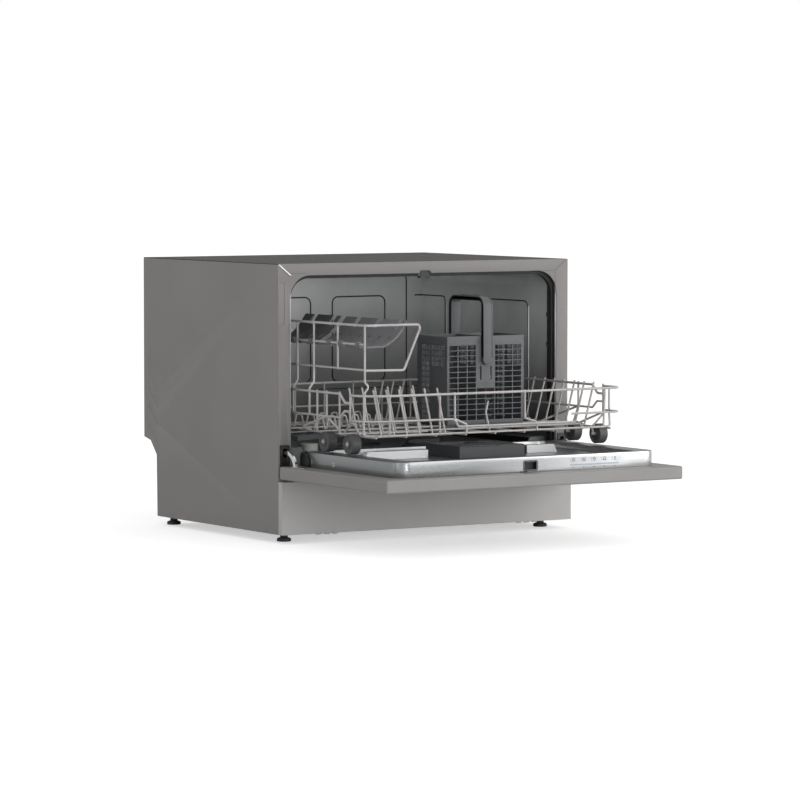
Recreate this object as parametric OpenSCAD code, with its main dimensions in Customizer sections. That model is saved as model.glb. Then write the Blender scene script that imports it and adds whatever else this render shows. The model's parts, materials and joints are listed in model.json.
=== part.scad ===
// Countertop dishwasher, door open, dish basket rolled out over the door.
// Millimetres, +Z up, front faces -Y, origin under the middle of the whole object.

/* [Cabinet] */
// Cabinet width over both side panels
body_w = 551; // [547:0.5:571]
// Height from the floor to the top panel
body_h = 443; // [443:0.5:462]
// Depth from the front frame plane to the rear wall
body_d = 445; // [445:0.5:470]
// Visible width of each side flange of the front frame
flange_w = 22.5; // [21.5:0.1:24]
// Height of the trim over the tub mouth
trim_h = 19; // [17.5:0.1:19]
// Gap between the floor and the side panels
ground_gap = 14; // [12:0.1:15]
// Thickness of the painted sheet panels
sheet_t = 1.2; // [1:0.1:1.4]
// Top edge of the plinth
plinth_top = 98; // [94:0.1:99]
// How far the plinth stands in front of the frame
plinth_out = 11; // [8:0.1:12]
// Radius of the foot pads
foot_r = 11.5; // [9:0.1:13]

/* [Tub] */
// Corner radius of the tub mouth
mouth_r = 36; // [30:0.5:40]
// Thickness of the stainless tub sheet
tub_t = 1; // [0.8:0.1:1]
// Radius of the spray arm tips
spray_r = 180; // [150:0.5:190]
// Radius of the filter cylinder
filter_r = 31; // [26:0.1:32]
// Radius of the salt cap
salt_r = 21; // [18:0.1:22]
// Radius of the float cup
float_r = 14; // [11:0.1:15]

/* [Door] */
// Distance from the front frame plane to the open door's far edge
door_reach = 327.3; // [325:0.1:329]
// Thickness of the outer door panel
door_t = 20.8; // [18:0.1:21]
// Corner radius of the inner door pan
pan_r = 28; // [20:0.5:32]
// Width of each push button
button_w = 11.4; // [9:0.1:12]
// Height of each push button
button_h = 5.4; // [4:0.1:6]
// Height of the dispenser above the pan floor
dispenser_h = 19; // [14:0.1:19.4]

/* [Basket] */
// Diameter of the basket rails
rail_d = 4; // [3.4:0.1:4.2]
// Diameter of the basket wires
wire_d = 3.4; // [2.8:0.1:3.6]
// Diameter of the plate tines
tine_d = 3; // [2.4:0.1:3.4]
// Radius of the basket wheels
wheel_r = 16; // [15:0.1:16.3]
// Width of the basket wheels
wheel_w = 16; // [14:0.1:16.2]
// Height of the cutlery basket body
cutlery_h = 142; // [120:0.5:145]
// Depth of a cup shelf from its hinge to its free edge
shelf_l = 82; // [70:0.5:83]

/* [Clearances] */
// Gap between a button and its hole, each side
button_gap = 0.3; // [0.2:0.05:0.5]
// Gap between a wheel bore and its axle, radial
bore_gap = 0.4; // [0.3:0.05:0.6]
// Gap around the filter and the caps, radial
cap_gap = 0.6; // [0.4:0.05:1]
// Gap between a hinge lever and its slot, each side
lever_gap = 0.4; // [0.3:0.05:0.8]
// Gap between the rear wheels and the ledge they roll on
roll_gap = 0.3; // [0.25:0.05:1]

/* [Hidden] */
$fn = 48;
wire_fn = 8;

frame_y = (door_reach - body_d) / 2;
half_w = body_w / 2;
in_w = half_w - sheet_t;
top_in = body_h - sheet_t;
tub_out = half_w - flange_w - 0.5;
tub_in = tub_out - tub_t;
mouth_w = half_w - flange_w;
mouth_top = body_h - trim_h;
ceil_in = body_h - 8.5;
tub_back = body_d - 34;
shoulder_z = body_h - 47;

ax_y = -8;
ax_z = 118;
door_top = 122.9;
pan_w = half_w - 30.5;
pan_y0 = -20;
pan_y1 = -303;
pan_z = 147;
pan_floor = 139;

side_x = 238;
hub_z = 166;
ledge_z = hub_z - wheel_r - roll_gap;
hub_x = 232;
axle_r = 2.5;
hub_front = -154;
hub_mid = -81;
hub_rear = 124;
floor_z = 177.9;
cross_z = 180.6;
rail_z = 243.5;
low_rail_z = 206.5;
front_z = 242.5;
basket_rear = 137;

cage_x = -229;
shelf_z = 322;

cut_x0 = -10.6;
cut_x1 = 136.5;
cut_y0 = -80;
cut_y1 = 8.6;
cut_z = 182.6;
handle_top = mouth_top - 36.5;

spray_y = 215;
filter_x = 70;
filter_y = 120;
salt_x = -95;
float_x = -188;
float_y = 52;

module at_front() {
    translate([0, frame_y, 0]) children();
}

// one straight wire from a to b
module rod(a, b, d, fn = wire_fn, turn = 9) {
    v = b - a;
    l = norm(v);
    u = v / l;
    e = 0.3 * d;
    translate(a - u * e)
        rotate([0, acos(u[2]), atan2(u[1], u[0])]) rotate(turn)
            cylinder(h = l + 2 * e, d = d, $fn = fn);
}

// a bent wire through every point of a list
module wire(p, d) {
    for (i = [0 : len(p) - 2]) rod(p[i], p[i + 1], d, turn = 9 + 16 * i);
}

// a plate standing across the cabinet, drawn in x and z
module cross_plate(y0, t) {
    translate([0, y0 + t, 0]) rotate([90, 0, 0]) linear_extrude(t) children();
}

// a profile drawn in y and z, pushed along x
module along_x(x0, l) {
    translate([x0, 0, 0]) rotate([90, 0, 90]) linear_extrude(l) children();
}

// flat shape with two rounded upper corners
module arch(hw, z0, z1, r) {
    translate([-hw, z0]) square([2 * hw, z1 - r - z0]);
    translate([-hw + r, z0]) square([2 * hw - 2 * r, z1 - z0]);
    translate([-hw + r, z1 - r]) circle(r);
    translate([hw - r, z1 - r]) circle(r);
}

// flat shape with four rounded corners
module rrect(x0, z0, w, h, r) {
    translate([x0 + r, z0]) square([w - 2 * r, h]);
    translate([x0, z0 + r]) square([w, h - 2 * r]);
    for (x = [x0 + r, x0 + w - r])
        for (z = [z0 + r, z0 + h - r])
            translate([x, z]) circle(r);
}

// raised bead in the shape of a rounded rectangle
module bead_2d(x0, z0, w, h) {
    difference() {
        rrect(x0, z0, w, h, 10);
        rrect(x0 + 2.5, z0 + 2.5, w - 5, h - 5, 7.5);
    }
}

module side_outline() {
    polygon([
        [sheet_t, ground_gap], [body_d - 45, ground_gap], [body_d - 43, 116],
        [body_d - 22, 139], [body_d, 144], [body_d, top_in], [sheet_t, top_in]
    ]);
}

module side_grooves(x) {
    for (z = [239.7, 211.8, 181.8, 149.7])
        translate([x, body_d - 32.5, z]) rotate([45, 0, 0])
            cube([1, 44, 3], center = true);
    translate([x - 0.5, body_d - 49, 36]) cube([1, 2.5, 98]);
}

module left_side_panel() {
    color("#777574") at_front() difference() {
        along_x(-half_w, sheet_t) side_outline();
        side_grooves(-half_w);
    }
}

module right_side_panel() {
    color("#777574") at_front() difference() {
        along_x(half_w - sheet_t, sheet_t) side_outline();
        side_grooves(half_w);
    }
}

module top_panel() {
    color("#66655f") at_front()
        translate([-half_w, sheet_t, top_in])
            cube([body_w, body_d - sheet_t, sheet_t]);
}

module back_panel() {
    color("#6c6b6a") at_front() difference() {
        along_x(-in_w, 2 * in_w) polygon([
            [body_d, top_in], [body_d, 144], [body_d - 22, 139],
            [body_d - 43, 116], [body_d - 45, ground_gap],
            [body_d - 45 - sheet_t, ground_gap], [body_d - 43 - sheet_t, 116.6],
            [body_d - 22.6, 140.2], [body_d - sheet_t, 145], [body_d - sheet_t, top_in]
        ]);
        translate([-150, body_d - 60, 70]) rotate([-90, 0, 0]) cylinder(h = 30, r = 20);
        translate([-60, body_d - 60, 70]) rotate([-90, 0, 0]) cylinder(h = 30, r = 16);
        translate([190, body_d - 60, 60]) rotate([-90, 0, 0]) cylinder(h = 30, r = 14);
    }
}

module base_tray() {
    color("#5f5f5f") at_front() {
        translate([-in_w, sheet_t, ground_gap])
            cube([2 * in_w, body_d - 45 - 2 * sheet_t, sheet_t]);
        for (y = [sheet_t, body_d - 45 - 2 * sheet_t])
            translate([-in_w, y, ground_gap]) cube([2 * in_w, sheet_t, 12]);
    }
}

module plinth() {
    color("#8f8d8d") at_front() {
        difference() {
            translate([-half_w, -plinth_out, ground_gap])
                cube([body_w, plinth_out, plinth_top - ground_gap]);
            translate([-half_w + sheet_t, -plinth_out + sheet_t, ground_gap - 1])
                cube([body_w - 2 * sheet_t, plinth_out, plinth_top - ground_gap - 1]);
        }
        for (x = [-210, -195, -180, 171, 186, 201])
            translate([x, -plinth_out + 0.6, ground_gap - 1.6]) cube([8, 6, 3]);
    }
}

module front_frame() {
    color("#8a8886") at_front() difference() {
        cross_plate(0, sheet_t) difference() {
            translate([-half_w, ground_gap]) square([body_w, body_h - ground_gap]);
            arch(mouth_w, 121, mouth_top, mouth_r);
            translate([-mouth_w, ground_gap - 1]) square([2 * mouth_w, 85]);
            for (x = [-hinge_x() - 7, hinge_x() - 7])
                translate([x, 124]) square([14, 30]);
            translate([0, mouth_top]) polygon([
                [-11.3, -1], [9.8, -1], [8.8, 2.4], [6, 4.4], [-9.8, 4.4], [-11.3, 3]
            ]);
        }
        for (s = [-1, 1])
            translate([s * (half_w - flange_w / 2), 0, body_h - trim_h / 2])
                rotate([0, s * atan2(flange_w, trim_h), 0]) cube([0.5, 0.8, 27], center = true);
        translate([-half_w + 1.4, -0.4, 350]) cube([11, 0.8, 62]);
        translate([-half_w + 6.9, 0, 350]) rotate([90, 0, 0])
            cylinder(h = 0.8, r = 5.5, center = true);
    }
}

module feet() {
    color("#3a3a3c") at_front()
        for (s = [-1, 1])
            for (p = [[245, 35], [252, body_d - 59]]) {
                translate([s * p[0], p[1], 0]) cylinder(h = 6.5, r = foot_r);
                translate([s * p[0], p[1], 5]) cylinder(h = ground_gap - 5, r = 6);
            }
}

// side of the tub, cut away at the lower rear corner over the cabinet's step
module tub_side_2d() {
    polygon([
        [sheet_t, 121], [tub_back - 9, 121], [tub_back, 131],
        [tub_back, shoulder_z], [sheet_t, shoulder_z]
    ]);
}

module tub_left_wall() {
    color("#747877") at_front() {
        along_x(-tub_out, tub_t) tub_side_2d();
        along_x(-tub_in, 0.8) bead_2d(82, 160, tub_back - 175, 211);
    }
}

module tub_right_wall() {
    color("#747877") at_front() {
        along_x(tub_in, tub_t) tub_side_2d();
        along_x(tub_in - 0.8, 0.8) bead_2d(82, 160, tub_back - 175, 211);
        along_x(tub_in - 0.8, 0.8) bead_2d(tub_back - 73, 160, 56, 211);
        for (z = [351, 302])
            translate([tub_in - 2.2, 21.5, z]) rotate([0, 90, 0]) cylinder(h = 2.2, r = 4);
    }
}

module tub_ceiling() {
    color("#6a6e6d") at_front()
        cross_plate(sheet_t, tub_back - sheet_t) difference() {
            arch(tub_out, 300, ceil_in + tub_t, mouth_r + tub_t);
            translate([0, -1]) arch(tub_in, 299, ceil_in + 1, mouth_r);
            translate([-half_w, 290]) square([body_w, shoulder_z - 290]);
        }
}

module tub_back_wall() {
    color("#6f7473") at_front() {
        cross_plate(tub_back, tub_t) arch(tub_out, 131, ceil_in + tub_t, mouth_r + tub_t);
        cross_plate(tub_back - 0.8, 0.8) {
            bead_2d(-226, 226, 105, 145);
            bead_2d(-78, 226, 105, 145);
            bead_2d(70, 226, 105, 145);
        }
    }
}

module floor_line(z0) {
    polygon([
        [-tub_in, ledge_z], [-218, ledge_z], [-212, 139], [-140, 134.5],
        [140, 134.5], [212, 139], [218, ledge_z], [tub_in, ledge_z], [tub_in, z0], [-tub_in, z0]
    ]);
}

module tub_floor() {
    color("#6b6f6e") at_front() difference() {
        union() {
            cross_plate(25, tub_back - 25) difference() {
                floor_line(120);
                translate([0, -1]) polygon([
                    [-tub_in - 1, ledge_z], [-217.4, ledge_z], [-211.4, 139], [-140, 134.4],
                    [140, 134.4], [211.4, 139], [217.4, ledge_z], [tub_in + 1, ledge_z],
                    [tub_in + 1, 110], [-tub_in - 1, 110]
                ]);
            }
            cross_plate(25, 1) floor_line(120);
            translate([-tub_in, sheet_t, 120]) cube([2 * tub_in, 24.8, 1]);
        }
        translate([0, spray_y, 120]) cylinder(h = 30, r = 40);
        translate([filter_x, filter_y, 120]) cylinder(h = 30, r = filter_r + 3);
        translate([salt_x, filter_y, 120]) cylinder(h = 30, r = salt_r + 3);
        translate([float_x, float_y, 120]) cylinder(h = 30, r = 6.4);
    }
}

module door_seal() {
    color("#2e2f2f") at_front() difference() {
        cross_plate(8, 9) difference() {
            arch(tub_in, 121, ceil_in, mouth_r);
            translate([0, -1]) arch(pan_w + 3, 121, mouth_top - 4.2, mouth_r - 3);
        }
        translate([-9.4, 0, mouth_top - 8]) cube([18.8, 20, 16.4]);
    }
}

function hinge_x() = half_w - 11.5;

module hinge_mount(x) {
    at_front() difference() {
        union() {
            translate([x - 7, -1.6, 124]) cube([14, 27.6, 30]);
            translate([x - 9, -1.6, 121.5]) cube([18, 1.6, 35]);
        }
        translate([x - 2.5 - lever_gap, -3, 137]) cube([5 + 2 * lever_gap, 27, 13]);
        translate([x - 2.5 - lever_gap, 3, 100]) cube([5 + 2 * lever_gap, 21, 50]);
    }
}

module hinge_mount_left() {
    color("#1e1e1f") hinge_mount(-hinge_x());
}

module hinge_mount_right() {
    color("#1e1e1f") hinge_mount(hinge_x());
}

module sump() {
    color("#4c4f52") at_front() difference() {
        union() {
            translate([-60, 80, 62]) cube([172, 180, 71.4]);
            translate([0, spray_y, 130]) cylinder(h = 17, r = 12);
            translate([0, spray_y, 140]) cylinder(h = 16, r = 7);
            translate([-40, 90, sheet_t + ground_gap]) cube([20, 60, 50]);
            translate([80, 180, sheet_t + ground_gap]) cube([20, 60, 50]);
        }
        translate([filter_x, filter_y, 92]) cylinder(h = 60, r = filter_r + cap_gap);
    }
}

module softener() {
    color("#c9cbc6") at_front() difference() {
        union() {
            translate([-210, 80, 64]) cube([145, 150, 60]);
            translate([salt_x, filter_y, 110]) cylinder(h = 25, r = salt_r + 2.8);
            translate([-200, 90, sheet_t + ground_gap]) cube([30, 130, 50]);
        }
        translate([salt_x, filter_y, 70]) cylinder(h = 80, r = salt_r - 3);
        translate([salt_x, filter_y, 126]) cylinder(h = 20, r = salt_r + cap_gap);
    }
}

module wash_pump() {
    color("#3d4a55") at_front() {
        translate([20, 310, 52]) rotate([0, 90, 0]) cylinder(h = 110, r = 30);
        translate([40, 260, 62]) cube([30, 40, 26]);
        translate([50, 296, sheet_t + ground_gap]) cube([50, 28, 12]);
    }
}

module drain_pump() {
    color("#454545") at_front() {
        translate([-60, 300, 44]) rotate([0, -90, 0]) cylinder(h = 70, r = 22);
        translate([-50, 260, 62]) cube([20, 30, 18]);
        translate([-70, 286, 34]) cube([40, 28, 30]);
        translate([-120, 288, sheet_t + ground_gap]) cube([50, 24, 12]);
    }
}

module inlet_valve() {
    color("#d8d8d4") at_front() {
        translate([-170, body_d - 90, sheet_t + ground_gap]) cube([40, 42, 76]);
        translate([-150, body_d - 50, 70]) rotate([-90, 0, 0]) cylinder(h = 24, r = 13.2);
    }
}

module drain_outlet() {
    color("#2f3133") at_front() {
        translate([-74, body_d - 72, sheet_t + ground_gap]) cube([28, 24, 70]);
        translate([-60, body_d - 50, 70]) rotate([-90, 0, 0]) cylinder(h = 26, r = 9.5);
    }
}

module control_box() {
    color("#3b3e40") at_front() {
        translate([150, body_d - 120, sheet_t + ground_gap]) cube([90, 70, 70]);
        translate([190, body_d - 52, 60]) rotate([-90, 0, 0]) cylinder(h = 16, r = 8.8);
    }
}

module latch_hook() {
    color("#2b2b2c") at_front() {
        translate([-9, 3, mouth_top - 8]) cube([18, 2, 16]);
        translate([-9, 3, mouth_top - 8]) cube([18, 9, 3]);
        translate([-4, 3, mouth_top - 8]) cube([8, 9, 16]);
    }
}

module filter_cup() {
    color("#4a4d4f") at_front() translate([filter_x, filter_y, 0]) {
        difference() {
            translate([0, 0, 94]) cylinder(h = 47, r = filter_r);
            translate([0, 0, 96]) cylinder(h = 50, r = filter_r - 2);
        }
        difference() {
            translate([0, 0, 135.2]) cylinder(h = 2.6, r = filter_r + 6);
            translate([0, 0, 130]) cylinder(h = 10, r = filter_r - 2);
        }
        translate([-filter_r + 1, -3, 132]) cube([2 * filter_r - 2, 6, 14]);
    }
}

module salt_cap() {
    color("#55585a") at_front() translate([salt_x, filter_y, 0]) {
        translate([0, 0, 126.2]) cylinder(h = 16, r = salt_r);
        translate([-salt_r + 3, -3.5, 142]) cube([2 * salt_r - 6, 7, 5]);
    }
}

module float_cup() {
    color("#606466") at_front() translate([float_x, float_y, 0]) difference() {
        union() {
            translate([0, 0, 141]) cylinder(h = 12, r = float_r);
            translate([0, 0, 124]) cylinder(h = 20, r = 5.5);
        }
        translate([0, 0, 139]) difference() {
            cylinder(h = 10, r = float_r - 1.5);
            cylinder(h = 12, r = 5.5);
        }
    }
}

module spray_arm() {
    color("#8b8f91") at_front() translate([0, spray_y, 0]) difference() {
        union() {
            translate([0, 0, 147.6]) cylinder(h = 12.2, r = 17);
            translate([0, 0, 151]) rotate([0, 0, 24]) linear_extrude(8) polygon([
                [-spray_r, -9], [-60, -14], [0, -15], [60, -11], [spray_r, -6],
                [spray_r, 9], [60, 14], [0, 15], [-60, 11], [-spray_r, 6]
            ]);
        }
        translate([0, 0, 140]) cylinder(h = 16.8, r = 7.6);
    }
}

module door_outer_panel() {
    color("#868482") at_front() difference() {
        translate([-half_w, -door_reach, door_top - door_t])
            cube([body_w, door_reach - 3, door_t]);
        translate([-half_w + sheet_t, -door_reach + sheet_t, door_top - door_t + sheet_t])
            cube([body_w - 2 * sheet_t, door_reach - 3 - 2 * sheet_t, door_t - 2 * sheet_t]);
        translate([-228, -288, door_top - 3]) cube([456, 252, 6]);
    }
}

module pan_2d(w, y0, y1, r) {
    translate([-w, y1 + r]) square([2 * w, y0 - y1 - r]);
    translate([-w + r, y1]) square([2 * w - 2 * r, r + 1]);
    for (x = [-w + r, w - r]) translate([x, y1 + r]) circle(r);
}

module door_inner_panel() {
    color("#b9bcbd") at_front() difference() {
        translate([0, 0, door_top]) linear_extrude(pan_z - door_top)
            pan_2d(pan_w, pan_y0, pan_y1, pan_r);
        translate([0, 0, pan_floor]) linear_extrude(8)
            pan_2d(210, pan_y0 - 10, pan_y1 + 13, pan_r - 12);
        translate([0, 0, door_top - 1]) linear_extrude(pan_floor - door_top - 0.5)
            pan_2d(pan_w - 1.5, pan_y0 - 1.5, pan_y1 + 1.5, pan_r - 1.5);
        for (x = [-pan_w, pan_w])
            for (y = [-55, -118])
                translate([x, y, 132]) rotate([0, 90, 0])
                    cylinder(h = 1.6, r = 3, center = true);
        translate([-11, pan_y1 - 1, 125.5]) cube([25, 10, 15.5]);
        for (i = [0 : 4])
            translate([button_x(i) - button_w / 2 - button_gap, pan_y1 - 1,
                       139 - button_h / 2 - button_gap])
                cube([button_w + 2 * button_gap, 7.5, button_h + 2 * button_gap]);
        translate([76, pan_y1 - 1, 130]) cube([92, 3, 2.4]);
    }
}

function button_x(i) = 83 + 19.5 * i;

module door_dams() {
    color("#c9cccd") at_front() {
        translate([0, -144, 0]) rotate([90, 0, 0]) linear_extrude(12) polygon([
            [-209.8, pan_floor], [-93.5, pan_floor], [-93.5, 152.4], [-205.5, 152.4]
        ]);
        translate([0, -144, 0]) rotate([90, 0, 0]) linear_extrude(12) polygon([
            [92, pan_floor], [151, pan_floor], [144, 152.4], [92, 152.4]
        ]);
    }
}

module dispenser_body() {
    color("#454648") at_front() difference() {
        translate([-60, -195, pan_floor]) cube([122, 100, dispenser_h]);
        translate([-50, -146, pan_floor + 4]) cube([58, 42, dispenser_h]);
        translate([40, -120, pan_floor + 3]) cylinder(h = dispenser_h, r = 14);
        translate([-57, -196, pan_floor + dispenser_h - 1.2]) cube([72, 98, 3]);
    }
}

module dispenser_lid() {
    color("#57585a") at_front() {
        translate([-56, -194, pan_floor + dispenser_h - 1]) cube([70, 46, 1.6]);
        translate([-30, -194, pan_floor + dispenser_h]) cube([18, 4, 1.2]);
    }
}

module rinse_cap() {
    color("#6b6d70") at_front() translate([40, -120, pan_floor]) {
        translate([0, 0, 3.4]) cylinder(h = dispenser_h - 3.8, r = 14 - cap_gap);
        translate([-10, -2, dispenser_h - 1]) cube([20, 4, 1.6]);
    }
}

module door_catch() {
    color("#2f3030") at_front() difference() {
        translate([-11, pan_y1 + 0.4, 125.5]) cube([25, 8.6, 15.5]);
        translate([-10, pan_y1 - 1, 126.5]) cube([23, 9, 13.5]);
    }
}

module hinge_lever(x) {
    at_front() {
        along_x(x - 2.5, 5) intersection() {
            difference() {
                translate([ax_y, ax_z]) circle(30);
                translate([ax_y, ax_z]) circle(24);
            }
            translate([ax_y, ax_z]) polygon([
                [0, 5], [-60, 5], [-60, 60], [28, 60], [2.33, 5]
            ]);
        }
        translate([x - 4, ax_y - 60, door_top]) cube([8, 40, 1]);
    }
}

module hinge_lever_left() {
    color("#d2d4d6") hinge_lever(-hinge_x());
}

module hinge_lever_right() {
    color("#d2d4d6") hinge_lever(hinge_x());
}

module indicator_window() {
    color("#8fa3b8") at_front() translate([76, pan_y1 - 0.1, 130]) cube([92, 1.9, 2.4]);
}

module button(i) {
    at_front() translate([button_x(i) - button_w / 2, pan_y1 - 0.6, 139 - button_h / 2])
        cube([button_w, 5.2, button_h]);
}

module button_1() {
    color("#c2c4c4") button(0);
}

module button_2() {
    color("#c2c4c4") button(1);
}

module button_3() {
    color("#c2c4c4") button(2);
}

module button_4() {
    color("#c2c4c4") button(3);
}

module button_5() {
    color("#c2c4c4") button(4);
}

module rear_axle() {
    color("#8f9193") at_front()
        translate([-hub_x - 7, hub_rear, hub_z]) rotate([0, 90, 0])
            cylinder(h = 2 * hub_x + 14, r = axle_r);
}

module wheel(x, y, bore) {
    translate([x - wheel_w / 2, y, hub_z]) rotate([0, 90, 0]) difference() {
        cylinder(h = wheel_w, r = wheel_r);
        translate([0, 0, -1]) cylinder(h = wheel_w + 2, r = bore);
        for (z = [-1, wheel_w - 1.5])
            translate([0, 0, z]) difference() {
                cylinder(h = 2.5, r = wheel_r - 3);
                translate([0, 0, -1]) cylinder(h = 5, r = 6.5);
            }
    }
}

module rear_wheel_left() {
    color("#4a4a4b") at_front() wheel(-hub_x, hub_rear, axle_r);
}

module rear_wheel_right() {
    color("#4a4a4b") at_front() wheel(hub_x, hub_rear, axle_r);
}

module wheel_front_left() {
    color("#4a4a4b") at_front() wheel(-hub_x, hub_front, axle_r + bore_gap);
}

module wheel_front_right() {
    color("#4a4a4b") at_front() wheel(hub_x, hub_front, axle_r + bore_gap);
}

module wheel_mid_left() {
    color("#4a4a4b") at_front() wheel(-hub_x, hub_mid, axle_r + bore_gap);
}

module wheel_mid_right() {
    color("#4a4a4b") at_front() wheel(hub_x, hub_mid, axle_r + bore_gap);
}

module basket_floor() {
    color("#b5b2b0") at_front() {
        for (x = [-219, -165, -110, -55, 0, 55, 110, 165, 219])
            rod([x, -205, floor_z], [x, basket_rear, floor_z], wire_d);
        for (y = [-126, -58, 28, 90])
            rod([-side_x, y, cross_z], [219, y, cross_z], wire_d);
        rod([-219, basket_rear, cross_z], [219, basket_rear, cross_z], wire_d);
    }
}

function front_path(z) = [
    [-side_x, -158, z], [-side_x, -174, z], [-230, -188, z], [-212, -202, z],
    [-186, -208, z], [0, -210, z], [186, -208, z], [230, -206, z],
    [side_x, -199, z], [side_x, -158, z]
];

module basket_front() {
    color("#b5b2b0") at_front() {
        wire(front_path(front_z), rail_d);
        wire([
            [-side_x, -158, 203], [-side_x, -174, 203], [-230, -188, 203],
            [-212, -202, 203], [-186, -208, 203], [-82, -209, 203],
            [-76, -209, 200], [-72, -209, 191], [148, -209, 191]
        ], wire_d);
        wire([
            [143, -209, 204], [186, -208, 204], [230, -206, 204],
            [side_x, -199, 204], [side_x, -158, 204]
        ], wire_d);
        wire([[-231, -187, front_z], [-231, -187, cross_z], [-206, -205.5, cross_z],
              [206, -205.5, cross_z], [231, -187, cross_z], [side_x, -175, 204],
              [side_x, -175, front_z]], wire_d);
        for (x = [-196, -104])
            wire([[x, -206.5, front_z + 1], [x, -206.5, cross_z]], wire_d);
        wire([[-77, -207.5, front_z + 1], [-77, -207.5, 203], [-55, -207.5, 194],
              [-55, -207, cross_z]], wire_d);
        wire([[54, -207.5, front_z + 1], [54, -207.5, 200], [77, -207.5, 193],
              [77, -207, cross_z]], wire_d);
        rod([208, -206.5, front_z], [206, -205.5, cross_z], wire_d);
        for (s = [-1, 1]) rod([s * side_x, -158, 245], [s * side_x, -158, 202], wire_d);
        wire([[0, -190, floor_z], [-8, -190, 210], [-4, -190, 227]], tine_d);
    }
}

module basket_back() {
    color("#b5b2b0") at_front() {
        rod([-side_x, basket_rear, rail_z], [side_x, basket_rear, rail_z], rail_d);
        rod([-side_x, basket_rear, low_rail_z], [side_x, basket_rear, low_rail_z], wire_d);
        for (x = [-219, -165, -110, -55, 0, 55, 110, 165, 219])
            rod([x, basket_rear - 1, rail_z + 1], [x, basket_rear - 1, floor_z + 1], wire_d);
    }
}

module wheel_carrier(s, y) {
    e = hub_x + wheel_w / 2 + 1.4;
    rod([s * e, y, hub_z], [s * 220.5, y, hub_z], 2 * axle_r, 24);
    translate([s * e - 0.8, y, hub_z]) rotate([0, 90, 0]) cylinder(h = 1.6, r = 4.5);
    rod([s * 221, y, hub_z], [s * 219.6, y, floor_z], wire_d);
}

module axle_eye(s) {
    difference() {
        union() {
            translate([s * 218 - 2.5, hub_rear, hub_z]) rotate([0, 90, 0])
                cylinder(h = 5, r = 6);
            rod([s * 218.5, hub_rear, hub_z + 4.5], [s * 218.8, hub_rear, floor_z], wire_d);
        }
        translate([s * 218 - 4, hub_rear, hub_z]) rotate([0, 90, 0])
            cylinder(h = 8, r = axle_r + bore_gap);
    }
}

module side_rails(s) {
    wire([[s * side_x, basket_rear, rail_z], [s * side_x, -127, rail_z],
          [s * side_x, -142, 230.5], [s * side_x, -158, 230]], rail_d);
    wire([[s * side_x, basket_rear, low_rail_z], [s * side_x, -128, low_rail_z],
          [s * side_x, -141, 217.5], [s * side_x, -158, 217.5]], wire_d);
    wheel_carrier(s, hub_front);
    wheel_carrier(s, hub_mid);
    wire([[s * side_x, -87, rail_z + 2], [s * side_x, -87, low_rail_z],
          [s * 222, -98, 184], [s * 219.5, -99, floor_z + 1]], wire_d);
    rod([s * side_x, -87, low_rail_z], [s * side_x, -14, 186], wire_d);
    rod([s * side_x, -14, 186], [s * 219.5, -8, floor_z + 1], wire_d);
    rod([s * side_x, -166, 203], [s * 219.5, -156, floor_z + 1], wire_d);
    rod([s * side_x, -166, 203], [s * 219.5, -108, floor_z + 1], wire_d);
    rod([s * side_x, -158, 203], [s * side_x, -170, 203], wire_d);
    axle_eye(s);
}

module basket_left() {
    color("#b5b2b0") at_front() {
        side_rails(-1);
        for (y = [-126, -58, 28, 90])
            rod([-side_x, y, rail_z + 2], [-side_x, y, cross_z], wire_d);
    }
}

module basket_right() {
    color("#b5b2b0") at_front() {
        side_rails(1);
        for (y = [-131, -104, -76, -47, -18, 11, 41, 90])
            rod([side_x, y, rail_z + 3], [219.8, y, floor_z + 1], wire_d);
    }
}

module cup_cage() {
    r = cage_x + 0.8;
    v = cage_x - 0.8;
    color("#b5b2b0") at_front() {
        rod([r, 134, 351.5], [r, -186, 351.5], rail_d);
        rod([r, 134, 282.5], [r, -186, 282.5], wire_d);
        rod([cage_x, 134, shelf_z], [cage_x, -186, shelf_z], wire_d);
        for (y = [-34, 17, 80])
            wire([[v, y, 352.4], [v, y, 258], [-side_x, y, 248],
                  [-side_x, y, low_rail_z]], wire_d);
        for (y = [-107, 133]) rod([v, y, 352.4], [v, y, 281.5], wire_d);
        wire([[v, -187, 352], [-135, -187.6, 351], [-129.5, -187.6, 346],
              [-158.5, -187.6, 280.5], [v, -187.2, 282]], wire_d);
        wire([[v, -188, 352.4], [v, -188, 264], [-222, -188, 256],
              [v, -188, 248], [v, -188, 203]], wire_d);
    }
}

// a low wire bent into humps that hold plates apart
module wave_wire(y, z) {
    wire([
        for (i = [0 : 5])
            each [[-206 + 22 * i, y, z], [-201 + 22 * i, y, z + 20],
                  [-192 + 22 * i, y, z + 20], [-187 + 22 * i, y, z]]
    ], tine_d);
}

module plate_tines() {
    color("#b5b2b0") at_front() {
        z = floor_z + 1.5;
        for (y = [-203, -131]) {
            rod([-214, y, z], [-80, y, z], tine_d);
            for (i = [0 : 5]) rod([-208.5 + 23.4 * i, y, z], [-208.5 + 23.4 * i, y + 25, 249.5], tine_d);
        }
        rod([-84, 43, z], [-22, 43, z], tine_d);
        for (x = [-71, -51, -31]) rod([x, 43, z], [x, 17, 249.5], tine_d);
        for (y = [5, 70]) wave_wire(y, z);
    }
}

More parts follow.
